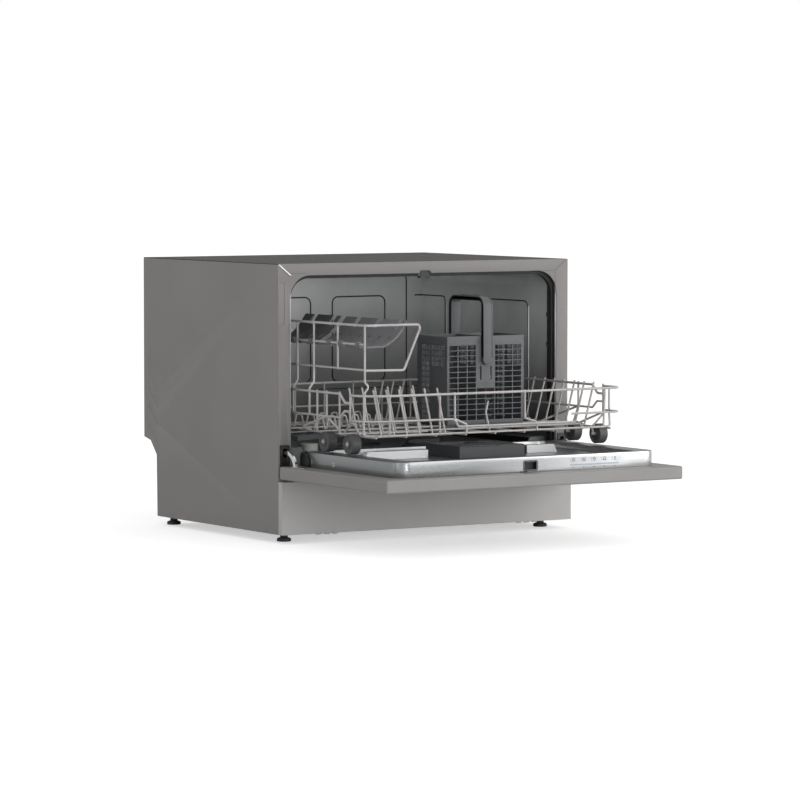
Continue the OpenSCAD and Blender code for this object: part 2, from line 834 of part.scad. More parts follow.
// a moulded flap with a turned-up comb edge, clipped to the cage's middle wire
module cup_shelf(y0, y1, notches, clips) {
    k = shelf_l / 82;
    translate([cage_x, 0, shelf_z]) {
        difference() {
            translate([0, y1, 0]) rotate([90, 0, 0]) linear_extrude(y1 - y0) polygon([
                [7, -6], [40 * k, -5.4], [59 * k, 5], [71.4 * k, 17.2], [83.2 * k, 34.2],
                [81 * k, 35.8], [68.8 * k, 19], [57 * k, 7.2], [39.4 * k, -2.6], [7, -3.2]
            ]);
            for (y = notches) translate([70 * k, y - 6, 20]) cube([20, 12, 20]);
            for (y = [y0 + 12 : 30 : y1 - 12]) translate([46 * k, y, -8]) cube([14, 5, 30]);
        }
        for (y = clips) difference() {
            union() {
                translate([0, y - 4, 0]) rotate([-90, 0, 0]) cylinder(h = 8, r = 4.4);
                translate([0, y - 4, -6]) cube([9, 8, 4.2]);
            }
            translate([0, y - 5, 0]) rotate([-90, 0, 0])
                cylinder(h = 10, r = wire_d / 2 + 0.5);
        }
    }
}

module cup_shelf_rear() {
    color("#4b4b4c") at_front() cup_shelf(18, 130, [37, 97], [32, 66, 118]);
}

module cup_shelf_front() {
    color("#4b4b4c") at_front() cup_shelf(-180, 3, [-38, -102, -165], [-26, -81, -116, -168]);
}

module cutlery_basket() {
    w = cut_x1 - cut_x0;
    l = cut_y1 - cut_y0;
    color("#58595b") at_front() {
        translate([cut_x0, cut_y0, cut_z]) difference() {
            cube([w, l, cutlery_h]);
            translate([2, 2, 2]) cube([(w - 6) / 2, l - 4, cutlery_h]);
            translate([w / 2 + 1, 2, 2]) cube([(w - 6) / 2, l - 4, cutlery_h]);
            for (x = [10, 32, w - 54, w - 32])
                for (z = [14, 56, 98])
                    translate([x, -1, z]) cube([19, l + 2, 34]);
            for (y = [10, l - 37])
                for (z = [14, 56, 98])
                    translate([-1, y, z]) cube([4, 27, 34]);
            for (y = [10, l - 37])
                for (z = [14, 56, 98])
                    translate([w - 3, y, z]) cube([4, 27, 34]);
        }
        intersection() {
            along_x(54, 18) difference() {
                union() {
                    translate([cut_y0 - 8, 278]) square([l + 16, 60]);
                    rrect(cut_y0 - 8, 300, l + 16, handle_top - 300, 18);
                }
                translate([cut_y0, 270]) square([l, 60]);
                rrect(cut_y0, 290, l, handle_top - 298, 5);
            }
            cross_plate(cut_y0 - 9, l + 18) {
                translate([54, 287]) square([18, handle_top - 280]);
                translate([63, 287]) circle(9);
            }
        }
    }
}

left_side_panel();
right_side_panel();
top_panel();
back_panel();
base_tray();
plinth();
front_frame();
feet();
tub_left_wall();
tub_right_wall();
tub_ceiling();
tub_back_wall();
tub_floor();
door_seal();
hinge_mount_left();
hinge_mount_right();
sump();
softener();
wash_pump();
drain_pump();
inlet_valve();
drain_outlet();
control_box();
latch_hook();
filter_cup();
salt_cap();
float_cup();
spray_arm();
door_outer_panel();
door_inner_panel();
door_dams();
dispenser_body();
door_catch();
hinge_lever_left();
hinge_lever_right();
indicator_window();
dispenser_lid();
rinse_cap();
button_1();
button_2();
button_3();
button_4();
button_5();
rear_axle();
rear_wheel_left();
rear_wheel_right();
basket_floor();
basket_front();
basket_back();
basket_left();
basket_right();
cup_cage();
plate_tines();
wheel_front_left();
wheel_front_right();
wheel_mid_left();
wheel_mid_right();
cup_shelf_rear();
cup_shelf_front();
cutlery_basket();
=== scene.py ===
# A countertop dishwasher with its door down and its dish basket rolled out over it.
# Metres; +Z up, the front faces -Y, and +X is to the right seen from the front.
import json
import math

import bmesh
import bpy
from mathutils import Matrix, Vector

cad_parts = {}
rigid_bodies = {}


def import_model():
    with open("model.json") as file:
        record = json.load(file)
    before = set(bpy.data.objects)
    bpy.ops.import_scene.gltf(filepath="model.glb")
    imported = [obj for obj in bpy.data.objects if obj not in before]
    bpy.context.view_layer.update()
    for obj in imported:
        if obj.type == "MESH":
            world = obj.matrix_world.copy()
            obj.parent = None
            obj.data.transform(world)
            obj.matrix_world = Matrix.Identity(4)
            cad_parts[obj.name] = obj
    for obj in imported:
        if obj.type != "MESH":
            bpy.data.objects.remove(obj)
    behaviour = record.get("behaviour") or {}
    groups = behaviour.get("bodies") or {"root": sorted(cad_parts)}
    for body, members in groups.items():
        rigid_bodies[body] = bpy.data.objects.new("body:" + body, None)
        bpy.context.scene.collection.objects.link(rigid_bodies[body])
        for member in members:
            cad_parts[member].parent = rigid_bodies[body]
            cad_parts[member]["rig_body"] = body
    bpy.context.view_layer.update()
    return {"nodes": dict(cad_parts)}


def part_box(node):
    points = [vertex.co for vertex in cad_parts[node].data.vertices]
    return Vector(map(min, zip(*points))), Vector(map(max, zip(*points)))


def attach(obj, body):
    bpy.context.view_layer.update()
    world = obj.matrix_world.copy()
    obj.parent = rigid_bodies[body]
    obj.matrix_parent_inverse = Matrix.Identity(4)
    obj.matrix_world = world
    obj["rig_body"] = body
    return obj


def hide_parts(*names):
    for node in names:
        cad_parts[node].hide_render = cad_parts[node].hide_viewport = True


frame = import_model()
scene = bpy.context.scene

# Camera
# The view is from far off at the front left, a little above the worktop, through a long lens.
camera_data = bpy.data.cameras.new("camera")
camera_data.lens = 190.0227
camera_data.sensor_width = 36.0
camera_data.clip_end = 60.0
camera = bpy.data.objects.new("camera", camera_data)
camera.location = (-3.619901, -5.814616, 0.644531)
camera.rotation_euler = (math.radians(86.42038), 0.0, math.radians(-31.81449))
scene.collection.objects.link(camera)
scene.camera = camera


# Studio
# A pale sweep under soft light. The materials of floor and world look white to the camera and in
# reflections, while the lamps and the ambient light stay at a plain level.
class Value:
    """One output of a material's nodes, on which Python's operators add Math nodes."""

    def __init__(self, tree, socket):
        self.tree = tree
        self.socket = socket

    def maths(self, operation, *items, clamp=False):
        node = self.tree.nodes.new("ShaderNodeMath")
        node.operation = operation
        node.use_clamp = clamp
        for socket, item in zip(node.inputs, items):
            feed(self.tree, socket, item)
        return Value(self.tree, node.outputs[0])

    def __add__(self, other):
        return self.maths("ADD", self, other)

    __radd__ = __add__

    def __sub__(self, other):
        return self.maths("SUBTRACT", self, other)

    def __rsub__(self, other):
        return self.maths("SUBTRACT", other, self)

    def __mul__(self, other):
        return self.maths("MULTIPLY", self, other)

    __rmul__ = __mul__

    def above(self, level, softness):
        """0 below the level and 1 above it, with a soft step."""
        return self.maths("MULTIPLY", self - level, 1.0 / softness, clamp=True)


def feed(tree, socket, item):
    """Links a value to a socket, or sets the socket's own constant."""
    if isinstance(item, Value):
        tree.links.new(item.socket, socket)
    else:
        socket.default_value = item


class Finish:
    """A material under construction: constants go on its shader, and its patterns are nodes."""

    def __init__(self, name, **constants):
        self.material = bpy.data.materials.new(name)
        self.material.use_nodes = True
        self.tree = self.material.node_tree
        self.shader = self.tree.nodes["Principled BSDF"]
        for socket, value in constants.items():
            self.shader.inputs[socket.replace("_", " ")].default_value = value

    def node(self, kind, settings=None, output=0, values=None):
        """Any node: its settings are made first, then the values or links of its sockets."""
        node = self.tree.nodes.new(kind)
        for key, setting in (settings or {}).items():
            setattr(node, key, setting)
        for key, item in (values or {}).items():
            feed(self.tree, node.inputs[key], item)
        return Value(self.tree, node.outputs[output])

    def drive(self, socket, item):
        feed(self.tree, self.shader.inputs[socket], item)

    def place(self, stretch=(1.0, 1.0, 1.0)):
        """The piece's own coordinates in metres, squeezed along each axis by stretch."""
        where = self.node("ShaderNodeTexCoord", output="Object")
        return self.node("ShaderNodeMapping", values={"Vector": where, "Scale": stretch})

    def noise(self, size, detail=2.0, stretch=(1.0, 1.0, 1.0)):
        """Soft noise whose grains are about size millimetres across."""
        return self.node("ShaderNodeTexNoise", values={
            "Vector": self.place(stretch), "Scale": 1000.0 / size, "Detail": detail})

    def blend(self, factor, first, second):
        return self.node("ShaderNodeMix", {"data_type": "RGBA"}, 2,
                         {0: factor, 6: first, 7: second})

    def emboss(self, height, strength, depth):
        """Bumps of depth millimetres under the surface's own shading."""
        self.drive("Normal", self.node("ShaderNodeBump", values={
            "Height": height, "Strength": strength, "Distance": depth / 1000.0}))


def tint(code, level=1.0):
    """A colour written as a six-figure code, as the shader wants it, made lighter or darker."""
    parts = [int(code[i:i + 2], 16) / 255.0 for i in (0, 2, 4)]
    linear = [p / 12.92 if p <= 0.04045 else ((p + 0.055) / 1.055) ** 2.4 for p in parts]
    return (*[min(1.0, p * level) for p in linear], 1.0)


AMBIENT = 0.62
world = bpy.data.worlds.new("studio")
world.use_nodes = True
scene.world = world
sky = world.node_tree
seen = sky.nodes.new("ShaderNodeLightPath")
by_eye = Value(sky, seen.outputs["Is Camera Ray"])
in_gloss = Value(sky, seen.outputs["Is Glossy Ray"])
in_glass = Value(sky, seen.outputs["Is Transmission Ray"])
white = by_eye + in_gloss * 0.72 + in_glass
feed(sky, sky.nodes["Background"].inputs["Color"], (1.0, 1.0, 1.0, 1.0))
feed(sky, sky.nodes["Background"].inputs["Strength"],
     white.maths("MAXIMUM", white.maths("MINIMUM", white, 1.0), AMBIENT))

floor_finish = Finish("floor_paper", Roughness=0.9, Base_Color=(0.86, 0.86, 0.86, 1.0),
                      Emission_Strength=1.0)
floor_finish.drive("Emission Color", floor_finish.blend(
    floor_finish.node("ShaderNodeLightPath", output="Is Camera Ray"),
    (0.0, 0.0, 0.0, 1.0), (0.52, 0.52, 0.52, 1.0)))
floor_mesh = bpy.data.meshes.new("floor")
REACH = 30.0
floor_mesh.from_pydata([(-REACH, -REACH, 0), (REACH, -REACH, 0), (REACH, REACH, 0), (-REACH, REACH, 0)],
                       [], [(0, 1, 2, 3)])
floor_mesh.materials.append(floor_finish.material)
floor = bpy.data.objects.new("floor", floor_mesh)
scene.collection.objects.link(floor)


def lamp(name, place, target, size, power):
    """A square softbox at a place, facing a target."""
    light = bpy.data.lights.new(name, "AREA")
    light.shape = "SQUARE"
    light.size = size
    light.energy = power
    piece = bpy.data.objects.new(name, light)
    piece.location = place
    aim = Vector(target) - Vector(place)
    piece.rotation_euler = aim.to_track_quat("-Z", "Y").to_euler()
    scene.collection.objects.link(piece)


lamp("front_softbox", (1.6, -3.4, 1.5), (0.0, -0.1, 0.2), 1.8, 20.0)
lamp("left_softbox", (-2.6, -1.4, 1.0), (-0.3, -0.1, 0.25), 1.6, 5.4)
lamp("mouth_fill", (0.1, -2.9, 0.3), (0.1, 0.35, 0.38), 0.9, 24.0)
lamp("right_softbox", (1.15, -1.0, 0.45), (0.1, -0.1, 0.25), 0.7, 4.0)


def dark_card(name, low, high):
    """A black card that only reflections show, so that polished steel gets its dark bands."""
    mesh = bpy.data.meshes.new(name)
    (x0, y0, z0), (x1, y1, z1) = low, high
    mesh.from_pydata([(x0, y0, z0), (x1, y1, z0), (x1, y1, z1), (x0, y0, z1)], [], [(0, 1, 2, 3)])
    mesh.materials.append(card_finish.material)
    card = bpy.data.objects.new(name, mesh)
    scene.collection.objects.link(card)
    card.visible_camera = False
    card.visible_diffuse = False
    card.visible_shadow = False
    card.visible_transmission = False


card_finish = Finish("card_black", Roughness=0.9, Base_Color=(0.02, 0.02, 0.02, 1.0))
dark_card("front_card", (-0.16, -1.3, 0.0), (0.1, -1.3, 1.1))
dark_card("left_card", (-1.25, -0.62, 0.0), (-1.22, -0.78, 0.9))


# Cabinet casing
# The wrapper is folded from 1.2 mm steel sheet with a satin silver-grey powder coat: two sides, a
# top and a stepped back, screwed to a galvanised base tray that stands on four moulded feet.
MM = 0.001
front_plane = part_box("front_frame")[0].y


def at(x, y, z):
    """A place in millimetres: across from the middle, back from the front frame, up from the floor."""
    return Vector((x * MM, y * MM + front_plane, z * MM))


def baked(piece):
    """The mesh that a piece's modifiers make. The piece itself is removed."""
    if piece.name not in scene.collection.objects:
        scene.collection.objects.link(piece)
    bpy.context.view_layer.update()
    whole = piece.evaluated_get(bpy.context.evaluated_depsgraph_get())
    mesh = bpy.data.meshes.new_from_object(whole)
    bpy.data.objects.remove(piece)
    return mesh


def finished(piece, slot, *replaced, body=None):
    """Applies a piece's modifiers and lets it ride in place of the CAD nodes that it stands for."""
    name = piece.name
    mesh = baked(piece)
    piece = bpy.data.objects.new(name, mesh)
    scene.collection.objects.link(piece)
    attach(piece, body or frame["nodes"][replaced[0]]["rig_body"])
    if replaced:
        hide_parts(*replaced)
    return piece


def rounded(piece, edge, angle=32.0, segments=2):
    """Breaks a piece's sharp edges with a small radius in millimetres."""
    bevel = piece.modifiers.new("edge", "BEVEL")
    bevel.width = edge * MM
    bevel.segments = segments
    bevel.limit_method = "ANGLE"
    bevel.angle_limit = math.radians(angle)
    bevel.harden_normals = True
    bevel.miter_outer = "MITER_ARC"


def smoothed(mesh, angle=32.0):
    """Shades a mesh smooth, apart from edges sharper than the angle."""
    mesh.shade_smooth()
    mesh.set_sharp_from_angle(angle=math.radians(angle))


def softened(node, finish, slot, edge=0.4, segments=2):
    """The CAD solid's own form, with its triangles joined into faces and its edges rounded."""
    form = bmesh.new()
    form.from_mesh(frame["nodes"][node].data)
    bmesh.ops.remove_doubles(form, verts=form.verts, dist=2e-6)
    bmesh.ops.dissolve_limit(form, angle_limit=math.radians(0.6), verts=form.verts, edges=form.edges)
    mesh = bpy.data.meshes.new(node + "_skin")
    form.to_mesh(mesh)
    form.free()
    mesh.materials.clear()
    mesh.materials.append(finish.material)
    for face in mesh.polygons:
        face.material_index = 0
    smoothed(mesh)
    piece = bpy.data.objects.new(node + "_skin", mesh)
    if edge:
        rounded(piece, edge, segments=segments)
    return finished(piece, slot, node)


def painted(name, code, gloss=0.42, fleck=0.05):
    """Powder coat: fine orange peel, faint flecks, and slow drifts of tone and gloss."""
    finish = Finish(name, Metallic=0.0)
    peel = finish.noise(1.6, 3.0)
    grain = finish.noise(0.35, 1.0)
    drift = finish.noise(140.0, 2.0)
    tone = finish.blend(drift.above(0.35, 0.3), tint(code, 0.96), tint(code, 1.04))
    tone = finish.blend(grain.above(0.52, 0.16) * fleck, tone, tint("ffffff"))
    finish.drive("Base Color", tone)
    finish.drive("Roughness", gloss + drift * 0.08 + grain * 0.06)
    finish.emboss(peel * 0.7 + grain * 0.3, 0.25, 0.05)
    return finish


side_paint = painted("satin_grey_side", "807d7b")
# The top's coat is a much darker copy of the sides' grey: painted shade.
top_paint_shaded = painted("satin_grey_top_shaded", "3a3936", 0.56)
top_paint_shaded.shader.inputs["Specular IOR Level"].default_value = 0.25
back_paint = painted("satin_grey_back", "706f6d")
for node in ("left_side_panel", "right_side_panel"):
    softened(node, side_paint, "painted_side", 0.45)
softened("top_panel", top_paint_shaded, "painted_top", 0.5)
softened("back_panel", back_paint, "painted_side", 0.4)

zinc = Finish("galvanised_sheet", Metallic=0.9)
spangle = zinc.node("ShaderNodeTexVoronoi", {"feature": "F1"}, "Color",
                    {"Vector": zinc.place(), "Scale": 110.0})
patch = zinc.node("ShaderNodeSeparateColor", values={0: spangle})
zinc.drive("Base Color", zinc.blend(patch, tint("8e9092"), tint("b4b6b8")))
zinc.drive("Roughness", 0.32 + patch * 0.22)
softened("base_tray", zinc, "galvanised", 0.3)


def moulded(name, code, gloss=0.5, grain_size=0.5, depth=0.03):
    """Injection-moulded plastic: spark-eroded grain and slightly uneven gloss."""
    finish = Finish(name)
    grain = finish.noise(grain_size, 3.0)
    drift = finish.noise(60.0, 2.0)
    finish.drive("Base Color", finish.blend(drift.above(0.3, 0.4), tint(code, 0.92), tint(code, 1.08)))
    finish.drive("Roughness", gloss + grain * 0.1 + drift * 0.06)
    finish.emboss(grain, 0.3, depth)
    return finish


def turned(name, outline, centre, axis, finish, slot, *replaced, steps=48, edge=0.0, body=None):
    """A round piece: its half outline as (radius, along) in millimetres, turned about x or z.

    The outline runs round the material. It starts and ends on the axis, or closes on itself
    where the piece has a bore.
    """
    rings = []
    form = bmesh.new()
    for radius, along in outline:
        if radius <= 0:
            rings.append([form.verts.new((0, 0, along * MM))])
            continue
        ring = []
        for step in range(steps):
            turn = 2 * math.pi * step / steps
            place = (radius * MM * math.cos(turn), radius * MM * math.sin(turn), along * MM)
            ring.append(form.verts.new(place))
        rings.append(ring)
    if outline[0][0] > 0:
        rings.append(rings[0])
    for one, two in zip(rings, rings[1:]):
        for step in range(steps):
            after = (step + 1) % steps
            corners = [one[step % len(one)], one[after % len(one)],
                       two[after % len(two)], two[step % len(two)]]
            kept = []
            for corner in corners:
                if corner not in kept:
                    kept.append(corner)
            if len(kept) > 2:
                form.faces.new(kept)
    bmesh.ops.recalc_face_normals(form, faces=form.faces)
    mesh = bpy.data.meshes.new(name)
    form.to_mesh(mesh)
    form.free()
    facing = Matrix.Rotation(math.pi / 2, 4, "Y") if axis == "x" else Matrix.Identity(4)
    mesh.transform(Matrix.Translation(centre) @ facing)
    mesh.materials.append(finish.material)
    smoothed(mesh)
    piece = bpy.data.objects.new(name, mesh)
    if edge:
        rounded(piece, edge)
    return finished(piece, slot, *replaced, body=body)


def joined(name, pieces, slot, *replaced, body=None):
    """Several finished meshes made one piece."""
    form = bmesh.new()
    materials = []
    for piece in pieces:
        start = len(form.faces)
        form.from_mesh(piece.data)
        form.faces.ensure_lookup_table()
        for face in form.faces[start:]:
            material = piece.data.materials[face.material_index]
            if material not in materials:
                materials.append(material)
            face.material_index = materials.index(material)
    mesh = bpy.data.meshes.new(name)
    form.to_mesh(mesh)
    form.free()
    for material in materials:
        mesh.materials.append(material)
    for piece in pieces:
        bpy.data.objects.remove(piece)
    return finished(bpy.data.objects.new(name, mesh), slot, *replaced, body=body)


foot_plastic = moulded("foot_plastic", "343436", 0.55)
FOOT_OUTLINE = [(0, 0), (10.3, 0), (11.5, 1.0), (11.5, 3.6), (10.4, 5.4), (6.2, 6.6),
                (6.0, 14.0), (0, 14.0)]
feet = [turned("foot", FOOT_OUTLINE, at(s * x, y, 0), "z", foot_plastic, "foot_plastic",
               body="cabinet", steps=40)
        for s in (-1, 1) for x, y in ((245, 35), (252, 386))]
joined("feet_set", feet, "foot_plastic", "feet")
# The plinth's coat is a much lighter copy of the same grey: painted light, making up for the door's shade.
softened("plinth", painted("satin_grey_plinth_painted_light", "b0aeac"), "painted_plinth", 0.5)


# Front frame
# A stamped steel bezel closes the cabinet's front. Its mouth has rounded corners, short mitre
# welds show as beads at the upper corners, and a shallow recess is pressed into the left flange.
def welded(mesh, gap):
    """Joins a mesh's points that are nearer than the gap in metres, and turns its faces outwards."""
    form = bmesh.new()
    form.from_mesh(mesh)
    bmesh.ops.remove_doubles(form, verts=form.verts, dist=gap)
    bmesh.ops.recalc_face_normals(form, faces=form.faces)
    form.to_mesh(mesh)
    form.free()


def flat_cut(name, outlines, thickness, edge, placing, finish):
    """A flat piece cut to closed outlines in millimetres, rim first and holes after, edges rounded."""
    curve = bpy.data.curves.new(name, "CURVE")
    curve.dimensions = "2D"
    curve.fill_mode = "BOTH"
    curve.extrude = (thickness / 2 - edge) * MM
    curve.bevel_depth = edge * MM
    curve.bevel_resolution = 1
    curve.offset = -edge * MM
    for outline in outlines:
        spline = curve.splines.new("POLY")
        spline.points.add(len(outline) - 1)
        for point, (u, v) in zip(spline.points, outline):
            point.co = (u * MM, v * MM, 0, 1)
        spline.use_cyclic_u = True
    mesh = baked(bpy.data.objects.new(name, curve))
    welded(mesh, 1e-6)
    mesh.transform(placing)
    mesh.materials.clear()
    mesh.materials.append(finish.material)
    smoothed(mesh, 50.0)
    return bpy.data.objects.new(name, mesh)


def facing_front(y):
    """Drawn in x and z, standing across the cabinet with its middle y millimetres behind the frame."""
    return Matrix.Translation(at(0, y, 0)) @ Matrix.Rotation(math.pi / 2, 4, "X")


def arc(u, v, radius, start, end, steps=10):
    """Points along part of a circle, by its centre, radius and angles in degrees."""
    turns = [math.radians(start + (end - start) * i / steps) for i in range(steps + 1)]
    return [(u + radius * math.cos(t), v + radius * math.sin(t)) for t in turns]


def arch(half, low, high, radius):
    """An opening with square lower and rounded upper corners."""
    return ([(-half, low), (half, low)] + arc(half - radius, high - radius, radius, 0, 90)
            + arc(-half + radius, high - radius, radius, 90, 180))


def round_box(u, v, width, height, radius, steps=6):
    """A rectangle with rounded corners, by its lower left corner."""
    left, right = u + radius, u + width - radius
    low, top = v + radius, v + height - radius
    return (arc(left, low, radius, 180, 270, steps) + arc(right, low, radius, 270, 360, steps)
            + arc(right, top, radius, 0, 90, steps) + arc(left, top, radius, 90, 180, steps))


frame_low, frame_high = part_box("front_frame")
HALF = frame_high.x / MM
TOP = frame_high.z / MM
GROUND = frame_low.z / MM
MOUTH_HALF = HALF - 22.5
MOUTH_LOW = 121.0
MOUTH_TOP = TOP - 19.0
MOUTH_RADIUS = 36.0
HINGE_X = HALF - 11.5

front_paint = painted("satin_grey_front", "7a7775")
latch_notch = [(9.8, MOUTH_TOP), (8.8, MOUTH_TOP + 2.4), (6, MOUTH_TOP + 4.4), (-9.8, MOUTH_TOP + 4.4),
               (-11.3, MOUTH_TOP + 3), (-11.3, MOUTH_TOP)]
mouth = arch(MOUTH_HALF, MOUTH_LOW, MOUTH_TOP, MOUTH_RADIUS)
mouth[13:13] = latch_notch
bezel = flat_cut("front_bezel", [
    round_box(-HALF, GROUND, 2 * HALF, TOP - GROUND, 1.6, 3),
    mouth,
    [(-MOUTH_HALF, GROUND + 4), (MOUTH_HALF, GROUND + 4), (MOUTH_HALF, 98), (-MOUTH_HALF, 98)],
    round_box(-HINGE_X - 7, 124, 14, 30, 1.5, 3),
    round_box(HINGE_X - 7, 124, 14, 30, 1.5, 3),
    round_box(-HALF + 1.6, 345, 10.6, 67.6, 5.2),
], 1.2, 0.35, facing_front(0.6), front_paint)
recess = flat_cut("flange_recess", [round_box(-HALF + 1.4, 344.8, 11.0, 68.0, 5.4)], 0.4, 0.1,
                  facing_front(0.85), front_paint)
# The beads' near-white is a painted highlight. The dark strips are painted shade: the shadow beside the
# left bead, and the shade along the grooves and the mouth's edge.
bead_highlight_paint = painted("mitre_bead_highlight", "f2f0ee", 0.25)
groove_shade_paint = painted("mitre_groove_shade", "4a4848", 0.6)


def front_stroke(name, start, end, width, lift, finish):
    """A thin straight strip on the front frame, from one place in x and z to another."""
    run = Vector(end) - Vector(start)
    turn = Matrix.Rotation(math.atan2(run.y, run.x), 4, "Z")
    middle = Matrix.Translation(Vector((start[0] * MM, start[1] * MM, 0)))
    strip = round_box(0, -width / 2, run.length, width, width * 0.45, 3)
    return flat_cut(name, [strip], 0.3, 0.08, facing_front(lift) @ middle @ turn, finish)


strokes = [
    front_stroke("left_mitre", (-273.5, 441.6), (-251.9, 424.4), 1.9, -0.1, bead_highlight_paint),
    front_stroke("left_shadow", (-273.5, 439.8), (-252.6, 422.6), 1.3, 0.0, groove_shade_paint),
    front_stroke("right_mitre", (271.5, 441.6), (249.6, 423.9), 0.7, -0.02, groove_shade_paint),
    front_stroke("right_side_line", (250.8, 424.0), (250.8, 384.0), 0.5, -0.02, groove_shade_paint),
    front_stroke("right_top_line", (201.0, 424.3), (250.0, 424.3), 0.5, -0.02, groove_shade_paint),
    front_stroke("left_top_line", (-251.5, 427.6), (-222.0, 427.6), 0.4, -0.02, groove_shade_paint)]
joined("front_bezel_set", [bezel, recess] + strokes, "painted_front", "front_frame", body="cabinet")


# Tub
# The wash tub is deep-drawn from bright stainless sheet, with seams where the wrapper meets the
# back, and rounded panels pressed into its walls to stiffen them. The sheet's colour gets darker
# downwards, as painted shade.
def steel(name, code, rough=0.28, brush=(1.0, 1.0, 1.0), depth=0.012, metal=1.0):
    """Stainless sheet: rolled grain along one axis, cloudy gloss and faint ripples."""
    finish = Finish(name, Metallic=metal)
    grain = finish.noise(0.5, 2.0, brush)
    drift = finish.noise(90.0, 2.0)
    tone = finish.blend(drift.above(0.3, 0.4), tint(code, 0.88), tint(code, 1.08))
    finish.drive("Base Color", finish.blend(grain.above(0.4, 0.3) * 0.25, tone, tint(code, 0.8)))
    finish.drive("Roughness", rough + grain * 0.1 + drift * 0.08)
    finish.emboss(grain * 0.4 + drift, 0.4, depth)
    return finish


tub_steel = steel("tub_stainless", "dfe0e0", 0.4, (1.0, 1.0, 0.06), metal=0.5)
height = tub_steel.node("ShaderNodeSeparateXYZ", values={0: tub_steel.place()}, output=2)
unshaded_tone = Value(tub_steel.tree, tub_steel.shader.inputs["Base Color"].links[0].from_socket)
# Painted shade: below 0.36 m the wall's colour darkens, down to 777979 at 0.17 m and below.
tub_steel.drive("Base Color", tub_steel.blend(height.above(0.17, 0.19), tint("777979"), unshaded_tone))
# Painted shade: the tub's floor takes a much darker copy of the stainless, for the shade under the basket.
shaded_floor_steel = steel("tub_floor_steel", "6b6d6d", 0.42, (1.0, 1.0, 0.06), metal=0.5)
# The dark lines are partly real seams, partly painted shade in the pressed beads. The bright pressed_glint
# lines are painted highlights.
seam_and_bead_shade_steel = steel("pressed_line_shade", "2c2f2f", 0.4, metal=0.3)
glint_steel = steel("pressed_glint", "f4f5f5", 0.2, metal=0.2)


def named_tree(name, inputs):
    """An empty geometry tree with a mesh in, a mesh out, and named inputs for its sizes."""
    tree = bpy.data.node_groups.new(name, "GeometryNodeTree")
    tree.interface.new_socket("Geometry", in_out="INPUT", socket_type="NodeSocketGeometry")
    for label, kind in inputs:
        tree.interface.new_socket(label, in_out="INPUT", socket_type=kind)
    tree.interface.new_socket("Geometry", in_out="OUTPUT", socket_type="NodeSocketGeometry")
    given = tree.nodes.new("NodeGroupInput")
    result = tree.nodes.new("NodeGroupOutput")
    return tree, given.outputs, result.inputs


def grown(tree, kind, settings=None, values=None):
    """Adds a geometry node: settings first, then constants or links by socket name."""
    node = tree.nodes.new(kind)
    for key, setting in (settings or {}).items():
        setattr(node, key, setting)
    for key, item in (values or {}).items():
        if isinstance(item, bpy.types.NodeSocket):
            tree.links.new(item, node.inputs[key])
        else:
            node.inputs[key].default_value = item
    return node.outputs


def bent_wire_tree():
    """Round wire along chains of edges, with bent corners and domed ends."""
    tree, given, result = named_tree("bent_wire", [
        ("Bend", "NodeSocketFloat"), ("Sides", "NodeSocketInt"), ("Material", "NodeSocketMaterial")])
    thick = grown(tree, "GeometryNodeInputNamedAttribute", {"data_type": "FLOAT"}, {"Name": "thickness"})
    path = grown(tree, "GeometryNodeMeshToCurve", None, {"Mesh": given["Geometry"]})
    path = grown(tree, "GeometryNodeFilletCurve", {"mode": "POLY"},
                 {"Curve": path["Curve"], "Count": 5, "Radius": given["Bend"], "Limit Radius": True})
    ring = grown(tree, "GeometryNodeCurvePrimitiveCircle", None,
                 {"Resolution": given["Sides"], "Radius": 1.0})
    wire = grown(tree, "GeometryNodeCurveToMesh", None, {
        "Curve": path["Curve"], "Profile Curve": ring["Curve"],
        "Scale": thick["Attribute"], "Fill Caps": True})
    ends = grown(tree, "GeometryNodeCurveEndpointSelection", None, {"Start Size": 1, "End Size": 1})
    dome = grown(tree, "GeometryNodeMeshUVSphere", None, {"Segments": 10, "Rings": 6, "Radius": 1.0})
    domes = grown(tree, "GeometryNodeInstanceOnPoints", None, {
        "Points": path["Curve"], "Selection": ends["Selection"], "Instance": dome["Mesh"],
        "Scale": thick["Attribute"]})
    both = tree.nodes.new("GeometryNodeJoinGeometry")
    tree.links.new(wire["Mesh"], both.inputs[0])
    tree.links.new(domes["Instances"], both.inputs[0])
    real = grown(tree, "GeometryNodeRealizeInstances", None, {"Geometry": both.outputs[0]})
    smooth = grown(tree, "GeometryNodeSetShadeSmooth", None, {"Geometry": real[0], "Shade Smooth": True})
    done = grown(tree, "GeometryNodeSetMaterial", None, {
        "Geometry": smooth["Geometry"], "Material": given["Material"]})
    tree.links.new(done["Geometry"], result["Geometry"])
    return tree


WIRE_TREE = bent_wire_tree()


def set_inputs(modifier, **values):
    """Sets a geometry modifier's inputs by their names, through the sockets' identifiers."""
    for item in modifier.node_group.interface.items_tree:
        if item.in_out == "INPUT" and item.name in values:
            modifier[item.identifier] = values[item.name]


